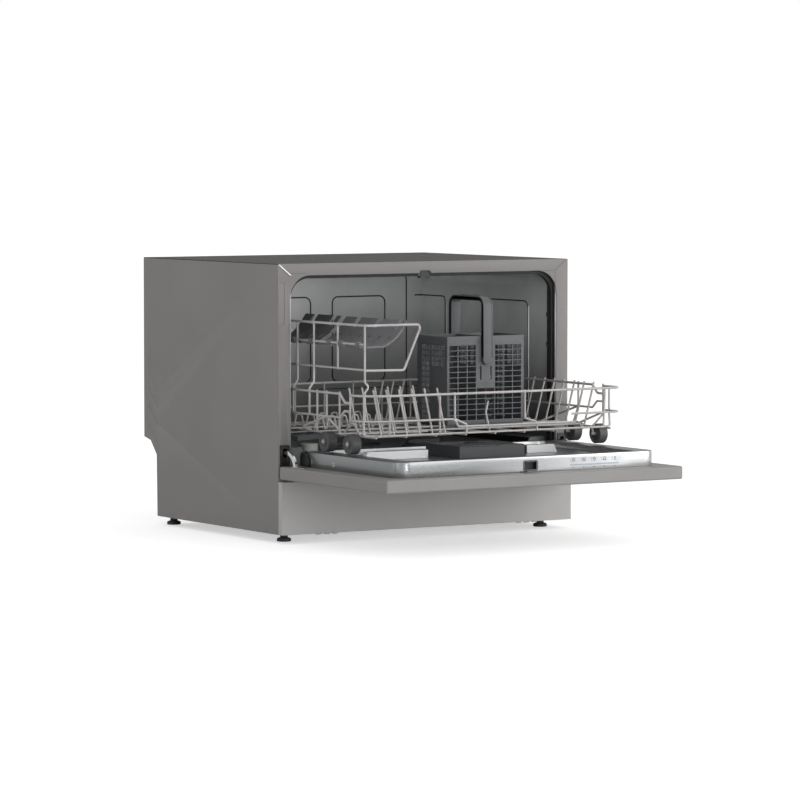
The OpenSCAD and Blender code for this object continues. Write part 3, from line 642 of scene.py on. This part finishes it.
def wires(name, runs, finish, bend=4.0, sides=10):
    """Bent wires, one for each (diameter, points) in millimetres."""
    points, links, thickness = [], [], []
    for diameter, run in runs:
        for number, place in enumerate(run):
            if number:
                links.append((len(points) - 1, len(points)))
            points.append(at(*place))
            thickness.append(diameter / 2 * MM)
    mesh = bpy.data.meshes.new(name)
    mesh.from_pydata(points, links, [])
    mesh.attributes.new("thickness", "FLOAT", "POINT").data.foreach_set("value", thickness)
    mesh.materials.append(finish.material)
    piece = bpy.data.objects.new(name, mesh)
    scene.collection.objects.link(piece)
    modifier = piece.modifiers.new("bend", "NODES")
    modifier.node_group = WIRE_TREE
    set_inputs(modifier, Bend=bend * MM, Sides=sides, Material=finish.material)
    mesh = baked(piece)
    welded(mesh, 1e-7)
    if "thickness" in mesh.attributes:
        mesh.attributes.remove(mesh.attributes["thickness"])
    return bpy.data.objects.new(name, mesh)


TUB_HALF = 251.5
TUB_BACK = 411.0
TUB_STEP = 131.0
CEILING = 434.5
SHOULDER = 396.0


def pressed_panel(plane, start, low, width, height, radius=11.0):
    """The bead round one pressed panel, as a closed run just proud of a wall."""
    loop = round_box(start, low, width, height, radius, 5)
    loop = loop + [loop[0]]
    if plane == "back":
        return [(u, TUB_BACK - 0.1, v) for u, v in loop]
    return [(plane, u, v) for u, v in loop]


def facing_side(x):
    """Drawn in y and z, standing along the cabinet with its middle x millimetres from the middle."""
    across = Matrix(((0, 0, 1, 0), (1, 0, 0, 0), (0, 1, 0, 0), (0, 0, 0, 1)))
    return Matrix.Translation(at(x, 0, 0)) @ across


def side_sheet(side):
    """A side wall of the tub, cut away at its lower rear corner over the cabinet's step."""
    outline = [(1.2, MOUTH_LOW), (TUB_BACK - 9, MOUTH_LOW), (TUB_BACK, TUB_STEP),
               (TUB_BACK, SHOULDER), (1.2, SHOULDER)]
    return flat_cut("side_sheet", [outline], 1.0, 0.1, facing_side(side * (TUB_HALF + 0.5)), tub_steel)


LINE = 2.4
WALL = TUB_HALF + 0.2
SIDE_PANEL = (82, 160, 236, 211)
left_lines = wires("left_lines", [(LINE, pressed_panel(-WALL, *SIDE_PANEL))], seam_and_bead_shade_steel, 2, 8)
joined("tub_left_skin", [side_sheet(-1), left_lines], "tub_steel", "tub_left_wall")
rear_panel = [(WALL, TUB_BACK, 371), (WALL, 345, 371), (WALL, 340, 369), (WALL, 338, 364), (WALL, 338, 160)]
right_lines = wires("right_lines", [(LINE, pressed_panel(WALL, *SIDE_PANEL)), (LINE, rear_panel)],
                    seam_and_bead_shade_steel, 2, 8)
glints = wires("right_glints", [(2.2, [(WALL - 0.2, 80, 362), (WALL - 0.2, 80, 165)]),
                                (1.8, [(WALL - 0.2, 333.5, 362), (WALL - 0.2, 333.5, 165)])],
               glint_steel, 2, 8)
plug_plastic = moulded("plug_plastic", "303132", 0.25)
plugs = [turned("wall_plug", [(0, -1.4), (2.4, -1.4), (3.4, -2.2), (5.2, -2.2), (6.0, 0), (0, 0)],
                at(TUB_HALF - 0.2, 19.5, z), "x", plug_plastic, "tub_steel", body="cabinet", steps=24)
         for z in (351, 302)]
joined("tub_right_skin", [side_sheet(1), right_lines, glints] + plugs, "tub_steel", "tub_right_wall")
back_sheet = flat_cut("back_sheet", [arch(TUB_HALF + 1, TUB_STEP, CEILING + 1, 37)], 1.0, 0.1,
                      facing_front(TUB_BACK + 0.5), tub_steel)
back_runs = [(LINE, pressed_panel("back", start, 226, 105, 145)) for start in (-226, -78, 70)]
back_runs += [(1.4, [(-TUB_HALF, TUB_BACK, 214), (TUB_HALF, TUB_BACK, 214)]),
              (LINE, [(210, TUB_BACK, 414), (216, TUB_BACK, 408), (218.5, TUB_BACK, 398),
                      (218.5, TUB_BACK, 160)]),
              (LINE, [(236, TUB_BACK, 371), (TUB_HALF, TUB_BACK, 371)])]
back_lines = wires("back_lines", back_runs, seam_and_bead_shade_steel, 2, 8)
joined("tub_back_skin", [back_sheet, back_lines], "tub_steel", "tub_back_wall")
softened("tub_ceiling", tub_steel, "tub_steel", 0)
softened("tub_floor", shaded_floor_steel, "tub_steel", 0)

# Door seal
# A black extruded gasket lines the mouth. Two lips run round it to meet the closed door.
rubber = moulded("seal_rubber", "262727", 0.62, 0.9, 0.05)
softened("door_seal", rubber, "seal_rubber", 1.0)
band = arch(TUB_HALF - 0.1, MOUTH_LOW, CEILING - 0.1, MOUTH_RADIUS)
band = band[1:] + band[:1]
inner = [(u * (TUB_HALF - 0.9) / TUB_HALF, v - (0.8 if v > 200 else 0)) for u, v in reversed(band)]
finished(flat_cut("seal_web", [band + inner], 22.0, 0.2, facing_front(13.2), rubber), "seal_rubber",
         body="cabinet")

# Hinge
# A black housing with a slot is set into each front flange. A plated steel lever, riveted to the
# door, curves up into it. A thin black cover with two bright washers lies on the pan's side.
hinge_black = moulded("hinge_black", "1b1b1c", 0.3)
chrome = Finish("bright_plating", Metallic=1.0)
scuff = chrome.noise(3.0, 3.0)
chrome.drive("Base Color", chrome.blend(scuff.above(0.5, 0.3) * 0.5, tint("e8eaec"), tint("b9bcbf")))
chrome.drive("Roughness", 0.08 + scuff * 0.1)
chrome.emboss(scuff, 0.2, 0.02)
for side in ("left", "right"):
    softened("hinge_mount_" + side, hinge_black, "hinge_plastic", 0.8)
    softened("hinge_lever_" + side, chrome, "hinge_chrome", 0.7)

for side, name in ((-1, "left"), (1, "right")):
    profile = [(-20, 124), (-20, 138)] + arc(-28, 138.5, 8, 0, 90, 5) + [(-40, 143), (-46, 133), (-46, 124)]
    arm_cover = flat_cut("arm_cover", [profile], 2.6, 0.6, facing_side(side * 246.4), hinge_black)
    washers = [turned("washer", [(2.2, 0), (4.2, 0), (4.2, 0.5), (3.6, 0.9), (2.6, 0.9), (2.2, 0.5)],
                      at(side * (HALF - 30.5), y, 133), "x", chrome, "hinge_chrome", body="door", steps=28)
               for y in (-50.5, -118)]
    joined("hinge_cover_" + name, [arm_cover] + washers, "hinge_plastic", body="door")

# Works in the base
# The sump, heater pump, drain pump, softener and control box are moulded pieces packed under the
# tub. The inlet's threaded stub, the drain spigot and the cord bush come out at the back.
sump_plastic = moulded("sump_plastic", "47494c", 0.45)
pale_plastic = moulded("pale_plastic", "b9b9b4", 0.42)
dark_plastic = moulded("dark_plastic", "3a3c3e", 0.45)
for node in ("sump", "wash_pump", "drain_pump"):
    softened(node, sump_plastic, "sump_plastic", 0.8)
softened("control_box", dark_plastic, "sump_plastic", 0.8)
softened("softener", pale_plastic, "pale_plastic", 0.8)
softened("inlet_valve", pale_plastic, "pale_plastic", 0.5)
softened("drain_outlet", dark_plastic, "sump_plastic", 0.5)

# Filter, salt cap and float
# A fine-mesh filter cup with a bar handle turns into the sump. Beside it are the softener's
# ribbed screw cap and the overflow float.
softened("filter_cup", sump_plastic, "sump_plastic", 0.5)
softened("salt_cap", dark_plastic, "sump_plastic", 0.6)
softened("float_cup", pale_plastic, "pale_plastic", 0.6)

# Spray arm
# A moulded two-armed rotor with angled jets turns on the sump's hub.
arm_plastic = moulded("arm_plastic", "7d8184", 0.4)
softened("spray_arm", arm_plastic, "arm_plastic", 1.2)

# Door
# The outer panel is folded steel in the cabinet's silver-grey paint. A bright stainless inner pan
# with rounded corners is screwed into it. Its floor is recessed between two bright-fronted steps.
door_paint = painted("satin_grey_door", "858381")
pan_steel = steel("pan_stainless", "dcdedf", 0.2, (0.05, 1.0, 1.0), 0.008)
step_steel = steel("step_stainless", "b6b7b8", 0.24, (0.05, 1.0, 1.0), 0.005)


def paint_reflection_along_x(finish, start, width, code):
    """Painted reflection: the sheet's tone changes from code to its own along x, in metres."""
    across = finish.node("ShaderNodeSeparateXYZ", values={0: finish.place()}, output=0)
    own = Value(finish.tree, finish.shader.inputs["Base Color"].links[0].from_socket)
    finish.drive("Base Color", finish.blend(across.above(start, width), tint(code), own))


# Painted reflections: the steps get lighter towards the left, and the pan darker towards the left, darkest
# at its left end.
paint_reflection_along_x(step_steel, 0.0, 0.16, "dcddde")
paint_reflection_along_x(pan_steel, -0.1, 0.22, "a3a5a6")
paint_reflection_along_x(pan_steel, -0.242, 0.012, "929495")


def block(name, low, high, edge, finish, segments=3):
    """A plain block between two corners in metres, with rounded edges."""
    form = bmesh.new()
    bmesh.ops.create_cube(form, size=1.0)
    for vert in form.verts:
        vert.co = Vector([low[i] + (high[i] - low[i]) * (vert.co[i] + 0.5) for i in range(3)])
    mesh = bpy.data.meshes.new(name)
    form.to_mesh(mesh)
    form.free()
    mesh.materials.append(finish.material)
    piece = bpy.data.objects.new(name, mesh)
    if edge:
        mesh.shade_smooth()
        rounded(piece, edge, segments=segments)
    return piece


def cut_out(piece, boxes):
    """Cuts boxes, given by two corners each, out of a piece."""
    cutters = []
    for low, high in boxes:
        cutter = block("cutter", low, high, 0, pan_steel)
        scene.collection.objects.link(cutter)
        cutters.append(cutter)
        opening = piece.modifiers.new("opening", "BOOLEAN")
        opening.solver = "EXACT"
        opening.object = cutter
    name = piece.name
    mesh = baked(piece)
    for cutter in cutters:
        bpy.data.objects.remove(cutter)
    smoothed(mesh, 40.0)
    return bpy.data.objects.new(name, mesh)


outer_low, outer_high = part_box("door_outer_panel")
outer_skin = block("door_outer_skin", outer_low, outer_high, 3.2, door_paint, 4)
finished(outer_skin, "painted_front", "door_outer_panel")
PAN_TOP, PAN_LOW, PAN_FLOOR = 147.0, 122.9, 139.0
PAN_FRONT, PAN_HALF, HOLLOW_HALF = -303.0, HALF - 30.5, 210.0
# Painted shade: the pan's upward faces and its floor take a darker copy of its stainless.
pan_top_shade = steel("pan_top_shade", "7d7f80", 0.3, (0.05, 1.0, 1.0), 0.006, metal=0.85)
rim_line = round_box(-PAN_HALF, PAN_FRONT, 2 * PAN_HALF, 283, 28, 12)
hollow_line = round_box(-HOLLOW_HALF, PAN_FRONT + 13, 2 * HOLLOW_HALF, 260, 16, 8)
rim = flat_cut("pan_rim", [rim_line, hollow_line], PAN_TOP - PAN_LOW, 0.8,
               Matrix.Translation(at(0, 0, (PAN_TOP + PAN_LOW) / 2)), pan_steel)
openings = []
for number in range(1, 6):
    low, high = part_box("button_%d" % number)
    openings.append((low - Vector((0.0001, 0.001, 0.0001)), high + Vector((0.0001, 0.0019, 0.0001))))
openings.append((at(-11, PAN_FRONT - 1, 125.5), at(14, PAN_FRONT + 9.2, 141)))
openings.append((at(76, PAN_FRONT - 1, 130), at(168, PAN_FRONT + 2, 132.4)))
rim = cut_out(rim, openings)
# The rim's upward faces get the darker steel of the painted shade.
rim.data.materials.append(pan_top_shade.material)
for face in rim.data.polygons:
    if face.normal.z > 0.9:
        face.material_index = 1
floor_line = round_box(-HOLLOW_HALF - 1, PAN_FRONT + 12, 2 * HOLLOW_HALF + 2, 262, 17, 8)
pan_floor = flat_cut("pan_floor", [floor_line], 1.4, 0.1,
                     Matrix.Translation(at(0, 0, PAN_FLOOR - 0.7)), pan_top_shade)
joined("door_pan", [rim, pan_floor], "door_steel", "door_inner_panel")
softened("door_dams", step_steel, "dam_steel", 0.8, 3)
latch_plastic = moulded("latch_plastic", "242526", 0.4)
softened("door_catch", latch_plastic, "latch_plastic", 0)
catch_rim = moulded("catch_rim", "57585a", 0.4)
catch_line = [round_box(-12.4, 124.8, 27.8, 16.8, 3.2, 5), round_box(-9.6, 127.2, 22.2, 12.4, 1.6, 4)]
surround = flat_cut("catch_surround", catch_line, 1.0, 0.25, facing_front(PAN_FRONT), catch_rim)
teeth = [flat_cut("catch_tooth", [round_box(-6.8 + 4.4 * i, 138.3, 3.0, 1.6, 0.3, 2)], 1.2, 0.2,
                  facing_front(PAN_FRONT + 0.9), catch_rim) for i in range(4)]
pan_slot = flat_cut("pan_slot", [round_box(-19, 123.2, 15, 1.6, 0.6, 3)], 0.4, 0.05,
                    facing_front(PAN_FRONT), latch_plastic)
joined("catch_front", [surround, pan_slot] + teeth, "latch_plastic", body="door")
softened("latch_hook", latch_plastic, "latch_plastic", 0.6)

# Dispenser
# A dark moulded housing holds the detergent chamber under a sliding lid, and the rinse-aid cap.
dispenser_plastic = moulded("dispenser_plastic", "444548", 0.45)
for node, edge in (("dispenser_body", 1.2), ("dispenser_lid", 0.5), ("rinse_cap", 0.6)):
    softened(node, dispenser_plastic, "dispenser_plastic", edge)

# Buttons
# Five bright push buttons sit in the pan's rim over a thin bluish light guide.
for number in range(1, 6):
    softened("button_%d" % number, pan_steel, "button_plastic", 0.2)
icon_ink = Finish("printed_icon", Roughness=0.6)
icon_ink.drive("Base Color", icon_ink.blend(icon_ink.noise(0.6), tint("2c2d2e"), tint("3a3b3c")))
ring = arc(0, 0, 2.6, 0, 350, 20) + arc(0, 0, 1.85, 350, 0, 20)
half_ring = arc(0, 0, 2.6, 110, 430, 20) + arc(0, 0, 1.85, 430, 110, 20)
small_ring = arc(0, 1.1, 1.5, 0, 350, 16) + arc(0, 1.1, 0.8, 350, 0, 16)
stem = round_box(-0.35, 0.4, 0.7, 2.2, 0.2, 3)
bars = [round_box(-2.5, z, 5.0, 0.7, 0.2, 3) for z in (-2.4, -0.4, 1.6)]
posts = [round_box(x, -2.4, 0.7, 4.7, 0.2, 3) for x in (-2.5, 1.8)]
foot = round_box(-2.4, -2.6, 4.8, 0.7, 0.2, 3)
ICONS = ([half_ring, stem], bars + posts, [ring, round_box(-0.35, 0, 0.7, 1.5, 0.2, 3)],
         [ring, foot], [small_ring, round_box(-0.35, -2.2, 0.7, 2.4, 0.2, 3), foot])
BUTTON_PITCH = 19.6
FIRST_ICON, ICON_HEIGHT, ICON_PLANE = 82.2, 139.0, -303.65
FIRST_MARK, MARK_HEIGHT = 80.8, 126.2
for number, shapes in enumerate(ICONS):
    spot = Vector(((FIRST_ICON + BUTTON_PITCH * number) * MM, ICON_HEIGHT * MM, 0))
    placing = facing_front(ICON_PLANE) @ Matrix.Translation(spot)
    marks = [flat_cut("mark", [shape], 0.2, 0.03, placing, icon_ink) for shape in shapes]
    rider = frame["nodes"]["button_%d" % (number + 1)]["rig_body"]
    joined("icon_%d" % (number + 1), marks, "button_plastic", body=rider)
mark_lines = [round_box(FIRST_MARK + BUTTON_PITCH * i, MARK_HEIGHT, 2.6, 1.0, 0.3, 3) for i in range(5)]
small_marks = [flat_cut("small_mark", [line], 0.2, 0.03, facing_front(PAN_FRONT + 0.05), icon_ink)
               for line in mark_lines]
joined("rim_marks", small_marks, "button_plastic", body="door")
guide = Finish("light_guide", Roughness=0.25)
wave = guide.noise(4.0)
guide.drive("Base Color", guide.blend(wave, tint("9aa6b6"), tint("bcc6d2")))
softened("indicator_window", guide, "window_plastic", 0.3)

# Basket
# Bent steel wires, welded where they cross and coated with grey nylon. The floor's long wires turn
# up into the back, a bowed rail closes the front, and the left side carries a cage for cups.
coating = Finish("nylon_coating", Coat_Weight=0.15, Coat_Roughness=0.3)
pebble = coating.noise(1.2, 3.0)
shade = coating.noise(30.0)
coating.drive("Base Color", coating.blend(shade.above(0.3, 0.4), tint("a6a3a1"), tint("b9b6b4")))
coating.drive("Roughness", 0.36 + pebble * 0.16)
coating.emboss(pebble, 0.25, 0.05)

SIDE, FLOOR, CROSS = 238.0, 177.9, 180.6
RAIL, LOW_RAIL, FRONT_RAIL = 243.5, 206.5, 242.5
REAR, HUB = 137.0, 166.0
FRONT_HUB, MID_HUB, REAR_HUB = -154.0, -81.0, 124.0
RAIL_D, WIRE_D, TINE_D = 4.0, 3.4, 3.0
LONG_WIRES = (-219, -165, -110, -55, 0, 55, 110, 165, 219)
CROSS_WIRES = (-126, -58, 28, 90)


def basket_piece(name, runs, *replaced, bend=4.0):
    return finished(wires(name, runs, coating, bend), "coated_wire", *replaced)


basket_piece("basket_floor_wires", (
    [(WIRE_D, [(x, -205, FLOOR), (x, REAR - 1, FLOOR), (x, REAR - 1, RAIL + 1)]) for x in LONG_WIRES]
    + [(WIRE_D, [(-SIDE, y, CROSS), (219, y, CROSS)]) for y in CROSS_WIRES]
    + [(WIRE_D, [(-219, REAR - 4, CROSS), (219, REAR - 4, CROSS)]),
       (RAIL_D, [(-SIDE, REAR, RAIL), (SIDE, REAR, RAIL)]),
       (WIRE_D, [(-SIDE, REAR, LOW_RAIL), (SIDE, REAR, LOW_RAIL)])]), "basket_floor", "basket_back")


def front_bow(z):
    """The front rail's run, from the left side round the bow to the right side."""
    return [(-SIDE, -158, z), (-SIDE, -174, z), (-230, -188, z), (-212, -202, z), (-186, -208, z),
            (0, -210, z), (186, -208, z), (230, -206, z), (SIDE, -199, z), (SIDE, -158, z)]


basket_piece("basket_front_wires", [
    (RAIL_D, front_bow(FRONT_RAIL)),
    (WIRE_D, [(-SIDE, -158, 203), (-SIDE, -174, 203), (-230, -188, 203), (-212, -202, 203),
              (-186, -208, 203), (-82, -209, 203), (-76, -209, 200), (-72, -209, 191), (148, -209, 191)]),
    (WIRE_D, [(143, -209, 204), (186, -208, 204), (230, -206, 204), (SIDE, -199, 204), (SIDE, -158, 204)]),
    (WIRE_D, [(-231, -187, FRONT_RAIL), (-231, -187, CROSS), (-206, -205.5, CROSS), (206, -205.5, CROSS),
              (231, -187, CROSS), (SIDE, -175, 204), (SIDE, -175, FRONT_RAIL)]),
    (WIRE_D, [(-77, -207.5, FRONT_RAIL + 1), (-77, -207.5, 203), (-55, -207.5, 194), (-55, -207, CROSS)]),
    (WIRE_D, [(54, -207.5, FRONT_RAIL + 1), (54, -207.5, 200), (77, -207.5, 193), (77, -207, CROSS)]),
    (WIRE_D, [(208, -206.5, FRONT_RAIL), (206, -205.5, CROSS)]),
    (TINE_D, [(0, -190, FLOOR), (-8, -190, 210), (-4, -190, 227)])]
    + [(WIRE_D, [(x, -206.5, FRONT_RAIL + 1), (x, -206.5, CROSS)]) for x in (-196, -104)]
    + [(WIRE_D, [(s * SIDE, -158, 245), (s * SIDE, -158, 202)]) for s in (-1, 1)], "basket_front")


def side_wires(s):
    """Rails, wheel carriers and axle eye that both sides of the basket share."""
    runs = [(RAIL_D, [(s * SIDE, REAR, RAIL), (s * SIDE, -127, RAIL), (s * SIDE, -142, 230.5),
                      (s * SIDE, -158, 230)]),
            (WIRE_D, [(s * SIDE, REAR, LOW_RAIL), (s * SIDE, -128, LOW_RAIL), (s * SIDE, -141, 217.5),
                      (s * SIDE, -158, 217.5)]),
            (WIRE_D, [(s * 218.8, REAR_HUB, HUB + 5.5), (s * 218.8, REAR_HUB, FLOOR)]),
            (WIRE_D, [(s * SIDE, -87, RAIL + 2), (s * SIDE, -87, LOW_RAIL), (s * 222, -98, 184),
                      (s * 219.5, -99, FLOOR + 1)]),
            (WIRE_D, [(s * SIDE, -87, LOW_RAIL), (s * SIDE, -14, 186), (s * 219.5, -8, FLOOR + 1)]),
            (WIRE_D, [(s * 219.5, -156, FLOOR + 1), (s * SIDE, -166, 203), (s * 219.5, -108, FLOOR + 1)]),
            (WIRE_D, [(s * SIDE, -158, 203), (s * SIDE, -170, 203)])]
    for y in (FRONT_HUB, MID_HUB):
        runs += [(5.0, [(s * 241.4, y, HUB), (s * 220.5, y, HUB)]),
                 (WIRE_D, [(s * 221, y, HUB), (s * 219.6, y, FLOOR)])]
    return runs


basket_piece("basket_left_wires", side_wires(-1)
             + [(WIRE_D, [(-SIDE, y, RAIL + 2), (-SIDE, y, CROSS)]) for y in CROSS_WIRES], "basket_left")
basket_piece("basket_right_wires", side_wires(1)
             + [(WIRE_D, [(SIDE, y, RAIL + 3), (219.8, y, FLOOR + 1), (212, y, FLOOR + 0.5)])
                for y in (-131, -104, -76, -47, -18, 11, 41, 90)], "basket_right")
CAGE = -229.0
basket_piece("cup_cage_wires", [
    (RAIL_D, [(CAGE, 134, 351.5), (CAGE, -187.6, 351.5), (-131, -187.6, 351.5), (-129.2, -187.6, 345),
              (-158.5, -187.6, 281), (CAGE, -187.2, 282)]),
    (WIRE_D, [(CAGE + 0.8, 134, 282.5), (CAGE + 0.8, -186, 282.5)]),
    (WIRE_D, [(CAGE, 134, 322), (CAGE, -186, 322)]),
    (WIRE_D, [(CAGE - 0.8, -188, 352.4), (CAGE - 0.8, -188, 264), (-222, -188, 256),
              (CAGE - 0.8, -188, 248), (CAGE - 0.8, -188, 203)])]
    + [(WIRE_D, [(CAGE - 0.8, y, 352.4), (CAGE - 0.8, y, 258), (-SIDE, y, 248), (-SIDE, y, LOW_RAIL)])
       for y in (-34, 17, 80)]
    + [(WIRE_D, [(CAGE - 0.8, y, 352.4), (CAGE - 0.8, y, 281.5)]) for y in (-107, 133)],
    "cup_cage", bend=5.0)
TINE_FOOT, TINE_TOP = FLOOR + 1.5, 249.5
LEFT_TINES = [-208.5 + 23.4 * i for i in range(6)]
humps = [(-206 + 22 * i + u, v) for i in range(6) for u, v in ((0, 0), (5, 20), (14, 20), (19, 0))]
basket_piece("plate_tine_wires", (
    [(TINE_D, [(-214, y, TINE_FOOT), (-80, y, TINE_FOOT)]) for y in (-203, -131)]
    + [(TINE_D, [(x, y, TINE_FOOT), (x, y + 25, TINE_TOP)]) for y in (-203, -131) for x in LEFT_TINES]
    + [(TINE_D, [(-84, 43, TINE_FOOT), (-22, 43, TINE_FOOT)])]
    + [(TINE_D, [(x, 43, TINE_FOOT), (x, 17, TINE_TOP)]) for x in (-71, -51, -31)]
    + [(TINE_D, [(x, y, TINE_FOOT + v) for x, v in humps]) for y in (5, 70)]), "plate_tines", bend=3.0)

# Wheels
# Dark moulded wheels with a raised tread and a deep hub turn on short stub axles. The rear pair
# shares a plain steel axle.
wheel_plastic = moulded("wheel_plastic", "474748", 0.4)
axle_steel = steel("axle_steel", "9a9c9e", 0.25)
HALF_RIM = [(2.9, 8.0), (5.2, 8.0), (6.2, 7.4), (6.6, 6.6), (7.4, 6.4), (11.6, 6.4),
            (12.6, 7.2), (13.4, 8.0), (15.0, 8.0), (16.0, 7.0)]
WHEEL_OUTLINE = [(r, -a) for r, a in HALF_RIM] + [(r, a) for r, a in reversed(HALF_RIM)]
for pair, y in (("wheel_front", FRONT_HUB), ("wheel_mid", MID_HUB), ("rear_wheel", REAR_HUB)):
    for hand, x in (("_left", -232), ("_right", 232)):
        turned(pair + hand + "_rim", WHEEL_OUTLINE, at(x, y, HUB), "x", wheel_plastic, "wheel_plastic",
               pair + hand, edge=0.3)
turned("rear_axle_rod", [(0, -239), (2.0, -239), (2.5, -238.4), (2.5, 238.4), (2.0, 239), (0, 239)],
       at(0, REAR_HUB, HUB), "x", axle_steel, "axle_steel", "rear_axle", steps=24)
AXLE_CAP = [(0, 0), (4.5, 0), (4.5, 0.5), (4.0, 0.8), (0, 0.8)]
for side in (-1, 1):
    for y in (FRONT_HUB, MID_HUB):
        tip = AXLE_CAP if side > 0 else [(r, -a) for r, a in AXLE_CAP]
        turned("axle_cap", tip, at(side * 240.7, y, HUB), "x", axle_steel, "axle_steel",
               body="basket", steps=24)

# Cup shelves
# Two dark moulded flaps hook over the cage's middle wire. Their free edges turn up into a comb
# that holds the stems of glasses.
shelf_plastic = moulded("shelf_plastic", "68686b", 0.45)
softened("cup_shelf_rear", shelf_plastic, "shelf_plastic", 0.5)
softened("cup_shelf_front", shelf_plastic, "shelf_plastic", 0.5)

# Cutlery basket
# A grey moulded basket in two halves with open lattice walls and one tall handle over both.
cutlery_plastic = moulded("cutlery_plastic", "595b5d", 0.42)
CUT_LEFT, CUT_RIGHT = -10.6, 136.5
CUT_FRONT, CUT_REAR = -80.0, 8.6
CUT_LOW, CUT_HIGH = 182.6, 324.6
HANDLE = 63.0
ROWS = [CUT_HIGH - 13.4 - 8.65 * (row + 1) for row in range(14)]


def cells(starts, width, rows=ROWS, height=7.2):
    """The open cells of one lattice field, a list for each column and row."""
    return [[(start, low), (start + width, low), (start + width, low + height), (start, low + height)]
            for low in rows for start in starts]


LEFT_FIELD = [CUT_LEFT + 4.6 + 17.4 * i for i in range(3)]
MIDDLE_FIELD = [46.6, 63.9]
RIGHT_FIELD = [81.2 + 17.1 * i for i in range(3)]
REAR_FIELD, NEAR_FIELD = [-27.5, -15.5], [-73, -59.5, -46]
slots = [[(x, 254), (x + 2.6, 254), (x + 2.6, 276), (x, 276)] for x in (52.6, 71.8)]
long_wall = [round_box(CUT_LEFT, CUT_LOW, CUT_RIGHT - CUT_LEFT, CUT_HIGH - CUT_LOW, 2.5, 4)]
rear_wall = long_wall + cells(LEFT_FIELD, 15.8, ROWS[:3]) + cells(RIGHT_FIELD, 15.5)
long_wall = long_wall + slots + cells(LEFT_FIELD + RIGHT_FIELD, 15.6) + cells(MIDDLE_FIELD, 15.6, ROWS[8:])
end_wall = [round_box(CUT_FRONT, CUT_LOW, CUT_REAR - CUT_FRONT, CUT_HIGH - CUT_LOW, 2.5, 4)]
divider = end_wall + cells(REAR_FIELD + NEAR_FIELD, 10.4, ROWS[:4])
end_wall = end_wall + cells(REAR_FIELD, 10.4) + cells(NEAR_FIELD, 11.6, ROWS[:4])
bottom = [round_box(CUT_LEFT, CUT_FRONT, CUT_RIGHT - CUT_LEFT, CUT_REAR - CUT_FRONT, 2.5, 4)]
bottom += [[(x, y), (x + 7, y), (x + 7, y + 7), (x, y + 7)]
           for x in [CUT_LEFT + 6 + 11.4 * i for i in range(12)]
           for y in [CUT_FRONT + 6 + 11.6 * i for i in range(7)]]
basket_walls = [flat_cut(name, lines, 2.0, 0.3, placing, cutlery_plastic) for name, lines, placing in (
    ("front_wall", long_wall, facing_front(CUT_FRONT + 1)),
    ("rear_wall", rear_wall, facing_front(CUT_REAR - 1)),
    ("left_wall", end_wall, facing_side(CUT_LEFT + 1)),
    ("divider", divider, facing_side(HANDLE)),
    ("right_wall", end_wall, facing_side(CUT_RIGHT - 1)),
    ("bottom", bottom, Matrix.Translation(at(0, 0, CUT_LOW + 1))))]


def handle_loop(grow):
    """The handle seen from the side: over the basket and down both of its faces."""
    reach = 289
    top = MOUTH_TOP - 36.5 + grow
    front, rear = CUT_FRONT - 7.2 - grow, CUT_REAR + 7.2 + grow
    over = arc(front + 17, top - 17, 17, 180, 90, 8) + arc(rear - 17, top - 17, 17, 90, 0, 8)
    thin = 7 + grow
    bend = top - thin - 6
    under = arc(rear - thin - 6, bend, 6, 0, 90, 5) + arc(front + thin + 6, bend, 6, 90, 180, 5)
    return ([(front, reach)] + over + [(rear, reach), (rear - thin, reach)]
            + under + [(front + thin, reach)])


def leg_foot(y):
    """The half-round end of one leg of the handle."""
    outline = [(HANDLE - 9, 292)] + arc(HANDLE, 287, 9, 180, 360, 12) + [(HANDLE + 9, 292)]
    return flat_cut("leg_foot", [outline], 7.0, 0.6, facing_front(y), cutlery_plastic)


handle = [flat_cut("handle", [handle_loop(0)], 18.0, 0.9, facing_side(HANDLE), cutlery_plastic)]
handle += [flat_cut("handle_rib", [handle_loop(0.7)], 2.0, 0.5, facing_side(HANDLE + x), cutlery_plastic)
           for x in (-8, 8)]
handle += [leg_foot(y) for y in (CUT_FRONT - 3.6, CUT_REAR + 3.6)]
joined("cutlery_lattice", basket_walls + handle, "cutlery_plastic", "cutlery_basket")

scene.view_settings.view_transform = "Standard"
bpy.context.view_layer.update()
